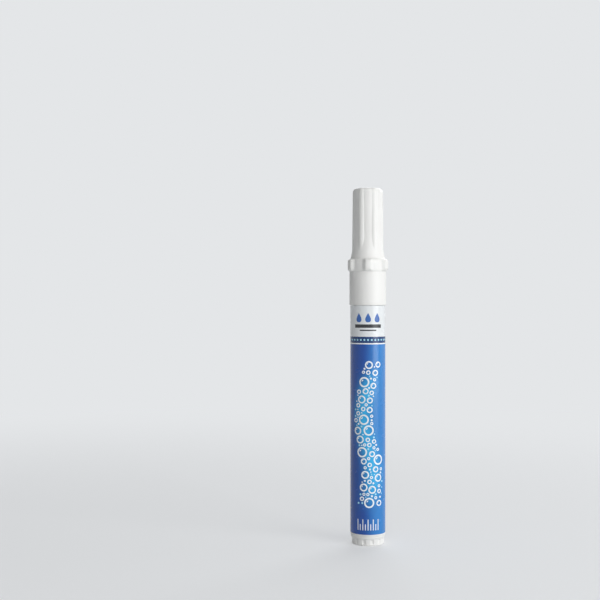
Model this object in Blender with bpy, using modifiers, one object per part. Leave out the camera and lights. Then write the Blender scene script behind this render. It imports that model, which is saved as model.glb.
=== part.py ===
"""Cleaning pen: a fluid-filled barrel, a spring valve behind a felt nib, and a pull-off cap.

The pen stands on its end plug. The origin is the middle of the plug's flat end, and +Z runs
along the pen to the top of the cap. The front, -Y, is the side where a lug of the cap's ring
is centred. An angle round the pen starts at the front and grows towards +X.
"""

import math

import bmesh
import bpy
from mathutils import Matrix

MM = 0.001

# Fits
SEAT_GAP = 0.30 * MM            # between a piece and the one that it sits in or on
FILM_GAP = 0.15 * MM            # between the barrel and the film shrunk round it

# Barrel
BARREL_BORE_RADIUS = 5.73 * MM
BARREL_WALL = 0.70 * MM
BARREL_LENGTH = 86.4 * MM       # from the rear end to the shoulder under the cap
REAR_RIM_HEIGHT = 0.5 * MM
REAR_RIM_STEP = 0.17 * MM       # how far the rear rim stands out from the barrel
NECK_STEP = 0.83 * MM           # how far the neck is set in from the barrel
NECK_WALL = 0.85 * MM
NECK_LENGTH = 10.7 * MM
SNAP_BEAD_HEIGHT = 0.18 * MM
SNAP_BEAD_WIDTH = 1.2 * MM
SNAP_BEAD_DROP = 4.0 * MM       # from the neck's top to the middle of its bead

# Label
LABEL_THICKNESS = 0.10 * MM
LABEL_MARGIN = 0.2 * MM         # from either edge of the film to the next step of the barrel

# End plug
PLUG_HEAD_HEIGHT = 2.75 * MM
PLUG_HEAD_INSET = 0.38 * MM     # how far the grooved head is set in from the barrel
PLUG_FLANGE_THICKNESS = 0.85 * MM
PLUG_FLANGE_LIP = 0.07 * MM     # how far the flange stands out from the barrel
PLUG_SKIRT_LENGTH = 6.4 * MM
PLUG_SKIRT_WALL = 0.9 * MM
PLUG_FLOOR = 1.6 * MM
PLUG_EDGE_ROUND = 0.4 * MM
GROOVE_COUNT = 12
GROOVE_WIDTH = 1.4 * MM
GROOVE_DEPTH = 0.4 * MM
GROOVE_MARGIN = 0.4 * MM        # plain height that is left below and above a groove

# Nose, the front section that holds the nib and the valve
NOSE_FLANGE_THICKNESS = 1.7 * MM
NOSE_LEDGE = 0.7 * MM           # width of the flange outside the cone
NOSE_CONE_LENGTH = 10.5 * MM
NOSE_TIP_LENGTH = 6.5 * MM
NOSE_TIP_WALL = 0.65 * MM
NOSE_PLUG_LENGTH = 8.3 * MM
NOSE_PLUG_WALL = 1.05 * MM

# Nib
NIB_RADIUS = 2.2 * MM
NIB_PROTRUSION = 7.0 * MM
NIB_POINT_LENGTH = 4.5 * MM
NIB_TRAVEL = 2.0 * MM

# Valve
VALVE_SEAT_THICKNESS = 1.7 * MM
SEAL_THICKNESS = 0.6 * MM
PIN_RADIUS = 1.0 * MM
STEM_HEAD_THICKNESS = 1.2 * MM
TAIL_RADIUS = 0.8 * MM
TAIL_OVERRUN = 0.5 * MM         # length of the tail beyond the cage's floor
CAGE_WALL = 0.6 * MM
CAGE_LENGTH = 12.0 * MM
CAGE_FLOOR = 1.0 * MM
CAGE_FLANGE_WIDTH = 1.2 * MM
CAGE_FLANGE_THICKNESS = 1.3 * MM
WINDOW_COUNT = 4
WINDOW_WIDTH = 1.6 * MM
WINDOW_HEIGHT = 2.2 * MM
SPRING_WIRE_RADIUS = 0.2 * MM
SPRING_TURNS = 6
SPRING_END_PITCH = 0.85 * MM    # climb of the closing turn at each end

# Cap
SKIRT_WALL = 0.90 * MM
SKIRT_LENGTH = 12.9 * MM
SKIRT_EDGE = 0.2 * MM
RING_HEIGHT = 4.8 * MM
RING_STEP = 0.32 * MM           # from the skirt out to the floor between the lugs
LUG_COUNT = 6
LUG_HEIGHT = 1.0 * MM
LUG_TOP_ANGLE = math.radians(14.0)
LUG_FOOT_ANGLE = math.radians(32.6)
LUG_END_ROUND = 1.1 * MM
FLARE_INSET = 0.36 * MM         # from the skirt in to the flare's lower end
FLARE_HEIGHT = 10.7 * MM
GRIP_WALL = 1.07 * MM
RIB_COUNT = 6
RIB_HEIGHT = 0.33 * MM
RIB_BAR_RADIUS = 1.6 * MM
CAP_ROOF = 1.4 * MM
TOP_ROUND_WIDTH = 1.2 * MM
TOP_ROUND_DROP = 1.7 * MM
NOSE_ROOM = 0.5 * MM            # free space round the foot of the nose's cone
NIB_ROOM = 5.5 * MM             # free height over the nib inside the cap

# Cap liner
LINER_WALL = 0.6 * MM
LINER_ROOF = 0.8 * MM
LINER_LAP = 5.7 * MM            # length of the nose's tip that the liner covers

# Facets
SIDES = 60                      # round the barrel and the cap
INNER_SIDES = 40                # round the nose, the nib and the valve
ARC_STEPS = 4

# Radii, worked outwards from the barrel's bore
barrel_radius = BARREL_BORE_RADIUS + BARREL_WALL
rear_rim_radius = barrel_radius + REAR_RIM_STEP
label_bore_radius = barrel_radius + FILM_GAP
label_radius = label_bore_radius + LABEL_THICKNESS
plug_head_radius = barrel_radius - PLUG_HEAD_INSET
plug_flange_radius = barrel_radius + PLUG_FLANGE_LIP
plug_skirt_radius = BARREL_BORE_RADIUS - SEAT_GAP
plug_bore_radius = plug_skirt_radius - PLUG_SKIRT_WALL
neck_radius = barrel_radius - NECK_STEP
neck_bore_radius = neck_radius - NECK_WALL
snap_bead_radius = neck_radius + SNAP_BEAD_HEIGHT
skirt_bore_radius = snap_bead_radius + SEAT_GAP
skirt_radius = skirt_bore_radius + SKIRT_WALL
ring_floor_radius = skirt_radius + RING_STEP
lug_radius = ring_floor_radius + LUG_HEIGHT
flare_foot_radius = skirt_radius - FLARE_INSET

# Radii, worked outwards from the nib
nose_bore_radius = NIB_RADIUS + SEAT_GAP
nose_tip_radius = nose_bore_radius + NOSE_TIP_WALL
nose_base_radius = neck_radius - NOSE_LEDGE
nose_plug_radius = neck_bore_radius - SEAT_GAP
chamber_radius = nose_plug_radius - NOSE_PLUG_WALL
liner_bore_radius = nose_tip_radius + SEAT_GAP
liner_radius = liner_bore_radius + LINER_WALL
cap_bore_radius = liner_radius + SEAT_GAP
grip_radius = cap_bore_radius + GRIP_WALL
rib_radius = grip_radius + RIB_HEIGHT

# Radii of the valve, worked inwards from the nose's chamber
cage_radius = chamber_radius - SEAT_GAP
cage_bore_radius = cage_radius - CAGE_WALL
cage_flange_radius = cage_radius + CAGE_FLANGE_WIDTH
stem_head_radius = cage_bore_radius - SEAT_GAP
seat_hole_radius = PIN_RADIUS + SEAT_GAP
tail_hole_radius = TAIL_RADIUS + SEAT_GAP
spring_radius = stem_head_radius - SEAT_GAP

# Heights of the barrel and its ends, worked up from the plug's flat end
plug_flange_top = PLUG_HEAD_HEIGHT + PLUG_FLANGE_THICKNESS
barrel_rear = plug_flange_top + SEAT_GAP
label_bottom = barrel_rear + REAR_RIM_HEIGHT + LABEL_MARGIN
shoulder = barrel_rear + BARREL_LENGTH
label_top = shoulder - LABEL_MARGIN
neck_top = shoulder + NECK_LENGTH
nose_seat = neck_top + SEAT_GAP
nose_ledge = nose_seat + NOSE_FLANGE_THICKNESS
nose_tip_foot = nose_ledge + NOSE_CONE_LENGTH
nose_top = nose_tip_foot + NOSE_TIP_LENGTH
nose_plug_end = nose_seat - NOSE_PLUG_LENGTH
nib_tip = nose_top + NIB_PROTRUSION

# Heights of the valve, worked down from the roof of the nose's chamber
valve_seat_top = nose_seat - SEAT_GAP
valve_seat_bottom = valve_seat_top - VALVE_SEAT_THICKNESS
cage_top = valve_seat_bottom - SEAT_GAP
cage_flange_top = nose_plug_end - SEAT_GAP
cage_flange_bottom = cage_flange_top - CAGE_FLANGE_THICKNESS
cage_bottom = cage_top - CAGE_LENGTH
seal_bottom = valve_seat_bottom - SEAT_GAP - SEAL_THICKNESS
stem_head_top = seal_bottom - SEAT_GAP
stem_head_bottom = stem_head_top - STEM_HEAD_THICKNESS
pin_top = valve_seat_top + NIB_TRAVEL + SEAT_GAP
nib_rear = pin_top + SEAT_GAP

# Heights of the cap, which clears the nib and seats over the nose's ledge
cap_bottom = shoulder + SEAT_GAP
cap_seat = nose_ledge + SEAT_GAP
liner_bottom = nose_top - LINER_LAP
liner_top = nib_tip + NIB_ROOM + LINER_ROOF
cap_roof = liner_top + SEAT_GAP
cap_top = cap_roof + CAP_ROOF
ring_bottom = cap_bottom + SKIRT_LENGTH
ring_top = ring_bottom + RING_HEIGHT
flare_top = ring_top + FLARE_HEIGHT


def clear_scene():
    """Removes what the scene holds before the pen is made."""
    for old in list(bpy.data.objects):
        bpy.data.objects.remove(old, do_unlink=True)


def new_collection(name):
    """A collection of the scene: one holds the pen's pieces, one the shapes that cut them."""
    collection = bpy.data.collections.new(name)
    bpy.context.scene.collection.children.link(collection)
    return collection


def carrier(name, z, parent=None):
    """An empty on the pen's axis for the pieces that move together."""
    empty = bpy.data.objects.new(name, None)
    empty.empty_display_size = 10 * MM
    empty.parent = parent
    empty.location.z = z
    parts.objects.link(empty)
    return empty


def material(name, colour, roughness, metallic=0.0):
    """A Principled material of one linear colour."""
    finish = bpy.data.materials.new(name)
    finish.use_nodes = True
    shader = finish.node_tree.nodes["Principled BSDF"]
    shader.inputs["Base Color"].default_value = (*colour, 1.0)
    shader.inputs["Roughness"].default_value = roughness
    shader.inputs["Metallic"].default_value = metallic
    finish.diffuse_color = (*colour, 1.0)
    return finish


def point_round(angle, radius):
    """X and Y of a point at an angle from the front and a radius from the axis."""
    return (radius * math.sin(angle), -radius * math.cos(angle))


def arc(centre, radii, start, end, steps=ARC_STEPS):
    """Points of an elliptical arc in the plane of radius and height.

    The angles are in degrees: 0 points away from the axis and 90 points up.
    """
    points = []
    for step in range(steps + 1):
        angle = math.radians(start + (end - start) * step / steps)
        radius = centre[0] + radii[0] * math.cos(angle)
        height = centre[1] + radii[1] * math.sin(angle)
        points.append((radius, height))
    return points


def hollow_arc(top, foot, steps):
    """Points of a circular arc that leaves its top upright and sweeps outwards to its foot."""
    drop = top[1] - foot[1]
    spread = foot[0] - top[0]
    sweep_radius = (drop ** 2 + spread ** 2) / (2 * spread)
    points = []
    for step in range(steps + 1):
        fall = drop * step / steps
        bulge = sweep_radius - math.copysign(math.sqrt(sweep_radius ** 2 - fall ** 2), spread)
        points.append((top[0] + bulge, top[1] - fall))
    return points


def object_of(name, shape):
    """An object whose mesh is taken from a bmesh."""
    mesh = bpy.data.meshes.new(name)
    shape.to_mesh(mesh)
    shape.free()
    return bpy.data.objects.new(name, mesh)


def turned(name, profile, sides=SIDES, closed=True):
    """A solid turned round Z from a profile that runs down its outer side.

    A closed profile is the section of a tube. An open one starts and ends on the axis.
    """
    mesh = bpy.data.meshes.new(name)
    points = [(radius, 0.0, height) for radius, height in profile]
    edges = [(index, index + 1) for index in range(len(points) - 1)]
    if closed:
        edges.append((len(points) - 1, 0))
    mesh.from_pydata(points, edges, [])
    solid = bpy.data.objects.new(name, mesh)
    screw = solid.modifiers.new("Turn", "SCREW")
    screw.axis = "Z"
    screw.angle = math.tau
    screw.steps = sides
    screw.render_steps = sides
    screw.use_merge_vertices = True
    screw.merge_threshold = 0.005 * MM
    return solid


def combine(solid, helper, operation):
    """Adds, cuts or intersects a piece with a helper shape drawn in the same frame."""
    boolean = solid.modifiers.new(helper.name, "BOOLEAN")
    boolean.operation = operation
    boolean.object = helper
    boolean.solver = "EXACT"
    helper.parent = solid
    helper.display_type = "WIRE"
    helper.hide_render = True
    cutters.objects.link(helper)


def upright_bars(name, count, ring_radius, bar_radius, low, high, first_angle=0.0, sides=24):
    """Round bars that stand on a circle round the axis, as one mesh."""
    shape = bmesh.new()
    for index in range(count):
        x, y = point_round(first_angle + math.tau * index / count, ring_radius)
        made = bmesh.ops.create_cone(
            shape,
            cap_ends=True,
            segments=sides,
            radius1=bar_radius,
            radius2=bar_radius,
            depth=high - low,
        )
        bmesh.ops.translate(shape, verts=made["verts"], vec=(x, y, (low + high) / 2))
    return object_of(name, shape)


def outline_prism(name, outline, low, high):
    """A flat closed outline, filled and carried up from one height to another."""
    curve = bpy.data.curves.new(name, "CURVE")
    curve.dimensions = "2D"
    curve.fill_mode = "BOTH"
    curve.extrude = (high - low) / 2
    spline = curve.splines.new("POLY")
    spline.points.add(len(outline) - 1)
    for point, (x, y) in zip(spline.points, outline):
        point.co = (x, y, 0.0, 1.0)
    spline.use_cyclic_u = True
    drawn = bpy.data.objects.new(name, curve)
    drawn.location.z = (low + high) / 2
    return as_mesh(drawn)


def as_mesh(drawn):
    """The mesh of a curve object, with its caps welded on, in the curve's place."""
    cutters.objects.link(drawn)
    bpy.context.view_layer.update()
    evaluated = drawn.evaluated_get(bpy.context.evaluated_depsgraph_get())
    shape = bmesh.new()
    shape.from_mesh(bpy.data.meshes.new_from_object(evaluated))
    shape.transform(drawn.matrix_world)
    bmesh.ops.remove_doubles(shape, verts=shape.verts, dist=0.001 * MM)
    bmesh.ops.recalc_face_normals(shape, faces=shape.faces)
    name = drawn.name
    bpy.data.objects.remove(drawn, do_unlink=True)
    return object_of(name, shape)


def place(solid, unit, z, finish):
    """Puts a piece on the axis at a height, with the unit that it moves with."""
    solid.parent = unit
    solid.location.z = z - unit.location.z
    solid.data.materials.append(finish)
    parts.objects.link(solid)


def settle(solid):
    """Turns the modifiers' result into the piece's own mesh, smooth with crisp edges."""
    evaluated = solid.evaluated_get(bpy.context.evaluated_depsgraph_get())
    mesh = bpy.data.meshes.new_from_object(evaluated)
    mesh.name = solid.name
    mesh.shade_smooth()
    mesh.set_sharp_from_angle(angle=math.radians(30))
    solid.modifiers.clear()
    solid.data = mesh


def make_barrel():
    """The tube that holds the fluid, with a rear rim and a stepped-in neck.

    Heights are from its rear end. The neck carries the bead that the cap snaps over.
    """
    neck_end = BARREL_LENGTH + NECK_LENGTH
    bead = neck_end - SNAP_BEAD_DROP
    edge = NECK_WALL / 4
    inner_step = BARREL_LENGTH - NECK_WALL
    profile = [
        (neck_bore_radius, neck_end),
        (neck_radius - edge, neck_end),
        (neck_radius, neck_end - edge),
        (neck_radius, bead + SNAP_BEAD_WIDTH / 2),
        (snap_bead_radius, bead + SNAP_BEAD_WIDTH / 6),
        (snap_bead_radius, bead - SNAP_BEAD_WIDTH / 6),
        (neck_radius, bead - SNAP_BEAD_WIDTH / 2),
        (neck_radius, BARREL_LENGTH),
        (barrel_radius - edge, BARREL_LENGTH),
        (barrel_radius, BARREL_LENGTH - edge),
        (barrel_radius, REAR_RIM_HEIGHT),
        (rear_rim_radius, REAR_RIM_HEIGHT),
        (rear_rim_radius, 0.0),
        (BARREL_BORE_RADIUS, 0.0),
        (BARREL_BORE_RADIUS, inner_step - NECK_STEP),
        (neck_bore_radius, inner_step),
    ]
    place(turned("barrel", profile), pen_body, barrel_rear, white_plastic)


def make_label_sleeve():
    """The printed film that is shrunk round the barrel."""
    length = label_top - label_bottom
    profile = [
        (label_bore_radius, length),
        (label_radius, length),
        (label_radius, 0.0),
        (label_bore_radius, 0.0),
    ]
    place(turned("label_sleeve", profile), pen_body, label_bottom, printed_film)


def make_end_plug():
    """The cup pressed into the barrel's rear end, with grooves round its head."""
    edge = PLUG_EDGE_ROUND
    lip = PLUG_FLANGE_THICKNESS / 4
    skirt_end = plug_flange_top + PLUG_SKIRT_LENGTH
    profile = [
        (0.0, PLUG_FLOOR),
        (plug_bore_radius, PLUG_FLOOR),
        (plug_bore_radius, skirt_end),
        (plug_skirt_radius - lip, skirt_end),
        (plug_skirt_radius, skirt_end - lip),
        (plug_skirt_radius, plug_flange_top),
        (plug_flange_radius - lip / 2, plug_flange_top),
        (plug_flange_radius, plug_flange_top - lip / 2),
        (plug_flange_radius, PLUG_HEAD_HEIGHT + lip),
        (plug_flange_radius - lip, PLUG_HEAD_HEIGHT),
        (plug_head_radius, PLUG_HEAD_HEIGHT),
        *arc((plug_head_radius - edge, edge), (edge, edge), 0, -90, 3),
        (0.0, 0.0),
    ]
    plug = turned("end_plug", profile, closed=False)
    bar_radius = (GROOVE_WIDTH ** 2 / 4 + GROOVE_DEPTH ** 2) / (2 * GROOVE_DEPTH)
    grooves = upright_bars(
        "end_plug_grooves",
        GROOVE_COUNT,
        plug_head_radius - GROOVE_DEPTH + bar_radius,
        bar_radius,
        GROOVE_MARGIN,
        PLUG_HEAD_HEIGHT - GROOVE_MARGIN,
        first_angle=math.pi / GROOVE_COUNT,
        sides=12,
    )
    combine(plug, grooves, "DIFFERENCE")
    place(plug, pen_body, 0.0, white_plastic)


def make_nose():
    """The front section: a plug for the neck, a flange, a cone and the tip round the nib.

    Heights are from the flange's seat on the neck.
    """
    ledge = NOSE_FLANGE_THICKNESS
    tip = nose_top - nose_seat
    edge = NOSE_TIP_WALL / 2
    cone = hollow_arc((nose_tip_radius, nose_tip_foot - nose_seat), (nose_base_radius, ledge), 6)
    profile = [
        (nose_bore_radius, tip),
        *arc((nose_tip_radius - edge, tip - edge), (edge, edge), 90, 0, 3),
        *cone,
        (neck_radius - edge, ledge),
        (neck_radius, ledge - edge),
        (neck_radius, 0.0),
        (nose_plug_radius, 0.0),
        (nose_plug_radius, edge - NOSE_PLUG_LENGTH),
        (nose_plug_radius - edge, -NOSE_PLUG_LENGTH),
        (chamber_radius, -NOSE_PLUG_LENGTH),
        (chamber_radius, 0.0),
        (nose_bore_radius, 0.0),
    ]
    place(turned("nose", profile, INNER_SIDES), pen_body, nose_seat, white_plastic)


def make_valve_seat():
    """The ring in the roof of the nose's chamber that the seal closes against."""
    edge = SEAT_GAP
    profile = [
        (seat_hole_radius + edge, VALVE_SEAT_THICKNESS),
        (cage_radius, VALVE_SEAT_THICKNESS),
        (cage_radius, 0.0),
        (seat_hole_radius, 0.0),
        (seat_hole_radius, VALVE_SEAT_THICKNESS - edge),
    ]
    place(turned("valve_seat", profile, INNER_SIDES), pen_body, valve_seat_bottom, clear_plastic)


def cage_windows():
    """Boxes through the cage's wall, between its floor and its flange."""
    middle = (CAGE_FLOOR + cage_flange_bottom - cage_bottom) / 2
    shape = bmesh.new()
    for index in range(WINDOW_COUNT):
        made = bmesh.ops.create_cube(shape, size=1.0)
        size = (WINDOW_WIDTH, 2 * CAGE_WALL, WINDOW_HEIGHT)
        bmesh.ops.scale(shape, verts=made["verts"], vec=size)
        out = (0.0, CAGE_WALL / 2 - cage_radius, middle)
        bmesh.ops.translate(shape, verts=made["verts"], vec=out)
        turn = Matrix.Rotation(math.tau * index / WINDOW_COUNT, 3, "Z")
        bmesh.ops.rotate(shape, verts=made["verts"], matrix=turn)
    return object_of("valve_cage_windows", shape)


def make_valve_cage():
    """The cup that holds the spring, with windows that let the fluid in."""
    flange_top = cage_flange_top - cage_bottom
    flange_bottom = cage_flange_bottom - cage_bottom
    profile = [
        (cage_bore_radius, CAGE_LENGTH),
        (cage_radius, CAGE_LENGTH),
        (cage_radius, flange_top),
        (cage_flange_radius, flange_top),
        (cage_flange_radius, flange_bottom),
        (cage_radius, flange_bottom),
        (cage_radius, 0.0),
        (tail_hole_radius, 0.0),
        (tail_hole_radius, CAGE_FLOOR),
        (cage_bore_radius, CAGE_FLOOR),
    ]
    cage = turned("valve_cage", profile, INNER_SIDES)
    combine(cage, cage_windows(), "DIFFERENCE")
    place(cage, pen_body, cage_bottom, clear_plastic)


def make_valve_spring():
    """The coil between the cage's floor and the stem's head, with a closing turn at each end."""
    low = cage_bottom + CAGE_FLOOR + SEAT_GAP + SPRING_WIRE_RADIUS
    high = stem_head_bottom - SEAT_GAP - SPRING_WIRE_RADIUS
    turn_points = 10
    count = turn_points * SPRING_TURNS
    open_turns = SPRING_TURNS - 2
    open_pitch = (high - low - 2 * SPRING_END_PITCH) / open_turns
    curve = bpy.data.curves.new("valve_spring", "CURVE")
    curve.dimensions = "3D"
    curve.bevel_depth = SPRING_WIRE_RADIUS
    curve.bevel_resolution = 1
    curve.use_fill_caps = True
    spline = curve.splines.new("POLY")
    spline.points.add(count)
    for index, point in enumerate(spline.points):
        turns = index / turn_points
        x, y = point_round(math.tau * turns, spring_radius - SPRING_WIRE_RADIUS)
        first = min(turns, 1.0) * SPRING_END_PITCH
        middle = min(max(turns - 1.0, 0.0), open_turns) * open_pitch
        last = max(turns - 1.0 - open_turns, 0.0) * SPRING_END_PITCH
        point.co = (x, y, first + middle + last, 1.0)
    spring = as_mesh(bpy.data.objects.new("valve_spring", curve))
    least_gap = min(SPRING_END_PITCH, open_pitch) - 2 * SPRING_WIRE_RADIUS
    print(f"Valve spring: {SPRING_TURNS} turns, least gap between them {least_gap / MM:.2f} mm")
    place(spring, pen_body, low, spring_steel)


def make_valve_stem():
    """The pin that the nib pushes, with a head on the spring and a tail through the floor.

    Heights are from the top of its head.
    """
    edge = PIN_RADIUS / 4
    pin_end = pin_top - stem_head_top
    tail_end = cage_bottom - TAIL_OVERRUN - stem_head_top
    profile = [
        (0.0, pin_end),
        (PIN_RADIUS - edge, pin_end),
        (PIN_RADIUS, pin_end - edge),
        (PIN_RADIUS, 0.0),
        (stem_head_radius, 0.0),
        (stem_head_radius, -STEM_HEAD_THICKNESS),
        (TAIL_RADIUS, -STEM_HEAD_THICKNESS),
        (TAIL_RADIUS, tail_end + edge),
        (TAIL_RADIUS - edge, tail_end),
        (0.0, tail_end),
    ]
    stem = turned("valve_stem", profile, INNER_SIDES, closed=False)
    place(stem, nib_unit, stem_head_top, clear_plastic)


def make_valve_seal():
    """The soft washer on the stem's head that shuts the seat's hole."""
    profile = [
        (seat_hole_radius, SEAL_THICKNESS),
        (stem_head_radius, SEAL_THICKNESS),
        (stem_head_radius, 0.0),
        (seat_hole_radius, 0.0),
    ]
    place(turned("valve_seal", profile, INNER_SIDES), nib_unit, seal_bottom, seal_rubber)


def make_nib():
    """The felt rod with a bullet point. Heights are from its rear end."""
    length = nib_tip - nib_rear
    edge = NIB_RADIUS / 6
    point = arc((0.0, length - NIB_POINT_LENGTH), (NIB_RADIUS, NIB_POINT_LENGTH), 90, 0, 6)
    profile = [
        (0.0, length),
        *point[1:],
        (NIB_RADIUS, edge),
        (NIB_RADIUS - edge, 0.0),
        (0.0, 0.0),
    ]
    place(turned("nib", profile, INNER_SIDES, closed=False), nib_unit, nib_rear, nib_felt)


def cap_outside():
    """The cap's outer form without its lugs and ribs, still solid. Heights from its mouth."""
    height = cap_top - cap_bottom
    crown = (grip_radius - TOP_ROUND_WIDTH, height - TOP_ROUND_DROP)
    flare_head = (grip_radius, flare_top - cap_bottom)
    flare_foot = (flare_foot_radius, ring_top - cap_bottom)
    profile = [
        *arc(crown, (TOP_ROUND_WIDTH, TOP_ROUND_DROP), 90, 0),
        *hollow_arc(flare_head, flare_foot, 6),
        (flare_foot_radius, SKIRT_LENGTH + RING_HEIGHT / 2),
        (skirt_radius, SKIRT_LENGTH + RING_HEIGHT / 4),
        (skirt_radius, SKIRT_EDGE),
        (skirt_radius - SKIRT_EDGE, 0.0),
    ]
    return turned("cap", [(0.0, height), *profile, (0.0, 0.0)], closed=False)


def lug_outline():
    """The ring seen from above: lugs with slanted flanks on a round floor."""
    half_foot = LUG_FOOT_ANGLE / 2
    half_top = LUG_TOP_ANGLE / 2
    floor_angle = math.tau / LUG_COUNT - LUG_FOOT_ANGLE
    outline = []
    for index in range(LUG_COUNT):
        middle = math.tau * index / LUG_COUNT
        outline.append(point_round(middle - half_foot, ring_floor_radius))
        outline.append(point_round(middle - half_top, lug_radius))
        outline.append(point_round(middle, lug_radius))
        outline.append(point_round(middle + half_top, lug_radius))
        for step in range(4):
            angle = middle + half_foot + floor_angle * step / 4
            outline.append(point_round(angle, ring_floor_radius))
    return outline


def cap_lug_ring():
    """The ring of lugs that keeps the pen from rolling, rounded off at both ends."""
    low = SKIRT_LENGTH
    high = SKIRT_LENGTH + RING_HEIGHT
    ring = outline_prism("cap_lug_ring", lug_outline(), low - RING_HEIGHT, high + RING_HEIGHT)
    clear_of_lugs = lug_radius + LUG_HEIGHT / 20
    middle = clear_of_lugs - LUG_END_ROUND
    rounding = (LUG_END_ROUND, LUG_END_ROUND)
    profile = [
        (0.0, high),
        *arc((middle, high - LUG_END_ROUND), rounding, 90, 0),
        *arc((middle, low + LUG_END_ROUND), rounding, 0, -90),
        (0.0, low),
    ]
    combine(ring, turned("cap_lug_ends", profile, closed=False), "INTERSECT")
    return ring


def cap_ribs():
    """The grip's ribs: round bars let into its side and rounded off with its top."""
    high = cap_top - cap_bottom
    hair = SEAT_GAP / 10
    ribs = upright_bars(
        "cap_ribs",
        RIB_COUNT,
        rib_radius - RIB_BAR_RADIUS,
        RIB_BAR_RADIUS,
        ring_top - cap_bottom,
        high + RIB_BAR_RADIUS,
        first_angle=math.pi / RIB_COUNT,
    )
    crown = (rib_radius + hair - TOP_ROUND_WIDTH, high - hair - TOP_ROUND_DROP)
    outside = rib_radius + RIB_BAR_RADIUS
    profile = [
        (0.0, high - hair),
        *arc(crown, (TOP_ROUND_WIDTH, TOP_ROUND_DROP), 90, 0),
        (outside, high - TOP_ROUND_DROP - 2 * hair),
        (outside, 0.0),
        (0.0, 0.0),
    ]
    combine(ribs, turned("cap_rib_tops", profile, closed=False), "INTERSECT")
    return ribs


def cap_bore():
    """The space inside the cap: the skirt's bore, the room round the nose, the liner's bore."""
    bead = neck_top - SNAP_BEAD_DROP - cap_bottom
    groove_radius = skirt_bore_radius + SNAP_BEAD_HEIGHT
    nose_room_radius = nose_base_radius + NOSE_ROOM
    profile = [
        (0.0, cap_roof - cap_bottom),
        (cap_bore_radius, cap_roof - cap_bottom),
        (cap_bore_radius, flare_top - cap_bottom),
        (nose_room_radius, ring_top - cap_bottom),
        (nose_room_radius, cap_seat - cap_bottom),
        (skirt_bore_radius, cap_seat - cap_bottom),
        (skirt_bore_radius, bead + SNAP_BEAD_WIDTH),
        (groove_radius, bead + SNAP_BEAD_WIDTH / 2),
        (groove_radius, bead - SNAP_BEAD_WIDTH / 2),
        (skirt_bore_radius, bead - SNAP_BEAD_WIDTH),
        (skirt_bore_radius, 2 * SKIRT_EDGE),
        (skirt_bore_radius + SKIRT_EDGE, 0.0),
        (skirt_bore_radius + SKIRT_EDGE, -SKIRT_WALL),
        (0.0, -SKIRT_WALL),
    ]
    return turned("cap_bore", profile, closed=False)


def make_cap():
    """The pull-off cap: skirt, ring of lugs, flare and ribbed grip."""
    cap = cap_outside()
    combine(cap, cap_lug_ring(), "UNION")
    combine(cap, cap_ribs(), "UNION")
    combine(cap, cap_bore(), "DIFFERENCE")
    place(cap, cap_unit, cap_bottom, white_plastic)


def make_cap_liner():
    """The inner cap that closes round the nose's tip and keeps the nib from drying."""
    high = liner_top - liner_bottom
    edge = LINER_WALL / 2
    profile = [
        (0.0, high),
        (liner_radius - edge, high),
        (liner_radius, high - edge),
        (liner_radius, 0.0),
        (liner_bore_radius + edge, 0.0),
        (liner_bore_radius, edge),
        (liner_bore_radius, high - LINER_ROOF),
        (0.0, high - LINER_ROOF),
    ]
    liner = turned("cap_liner", profile, INNER_SIDES, closed=False)
    place(liner, cap_unit, liner_bottom, clear_plastic)


clear_scene()
parts = new_collection("cleaning_pen")
cutters = new_collection("cutters")

white_plastic = material("white_plastic", (0.86, 0.86, 0.84), 0.35)
printed_film = material("printed_film", (0.02, 0.12, 0.39), 0.25)
clear_plastic = material("clear_plastic", (0.78, 0.80, 0.80), 0.3)
seal_rubber = material("seal_rubber", (0.05, 0.05, 0.05), 0.7)
spring_steel = material("spring_steel", (0.55, 0.55, 0.56), 0.3, metallic=1.0)
nib_felt = material("nib_felt", (0.80, 0.79, 0.75), 0.95)

pen_body = carrier("pen_body", 0.0)
nib_unit = carrier("nib_unit", nib_rear, pen_body)
cap_unit = carrier("cap_unit", cap_bottom, pen_body)

make_barrel()
make_label_sleeve()
make_end_plug()
make_nose()
make_valve_seat()
make_valve_cage()
make_valve_spring()
make_valve_stem()
make_valve_seal()
make_nib()
make_cap()
make_cap_liner()

bpy.context.view_layer.update()
for piece in parts.objects:
    if piece.type == "MESH":
        settle(piece)
print(f"Pen: {cap_top / MM:.1f} mm long, {2 * lug_radius / MM:.1f} mm across the lugs")
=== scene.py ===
# %% [markdown]
# # A cleaning pen, finished for the camera
# The pen is a white plastic tube with a printed film shrunk round it, a grooved plug in its
# rear end and a ribbed cap over a sprung felt nib. The frame that this script loads holds the
# pen's plain solids, its moving bodies and its real sizes. Here the solids get fine surfaces
# and finishes, and then the pen is lit and seen as in a product photograph.

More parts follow.
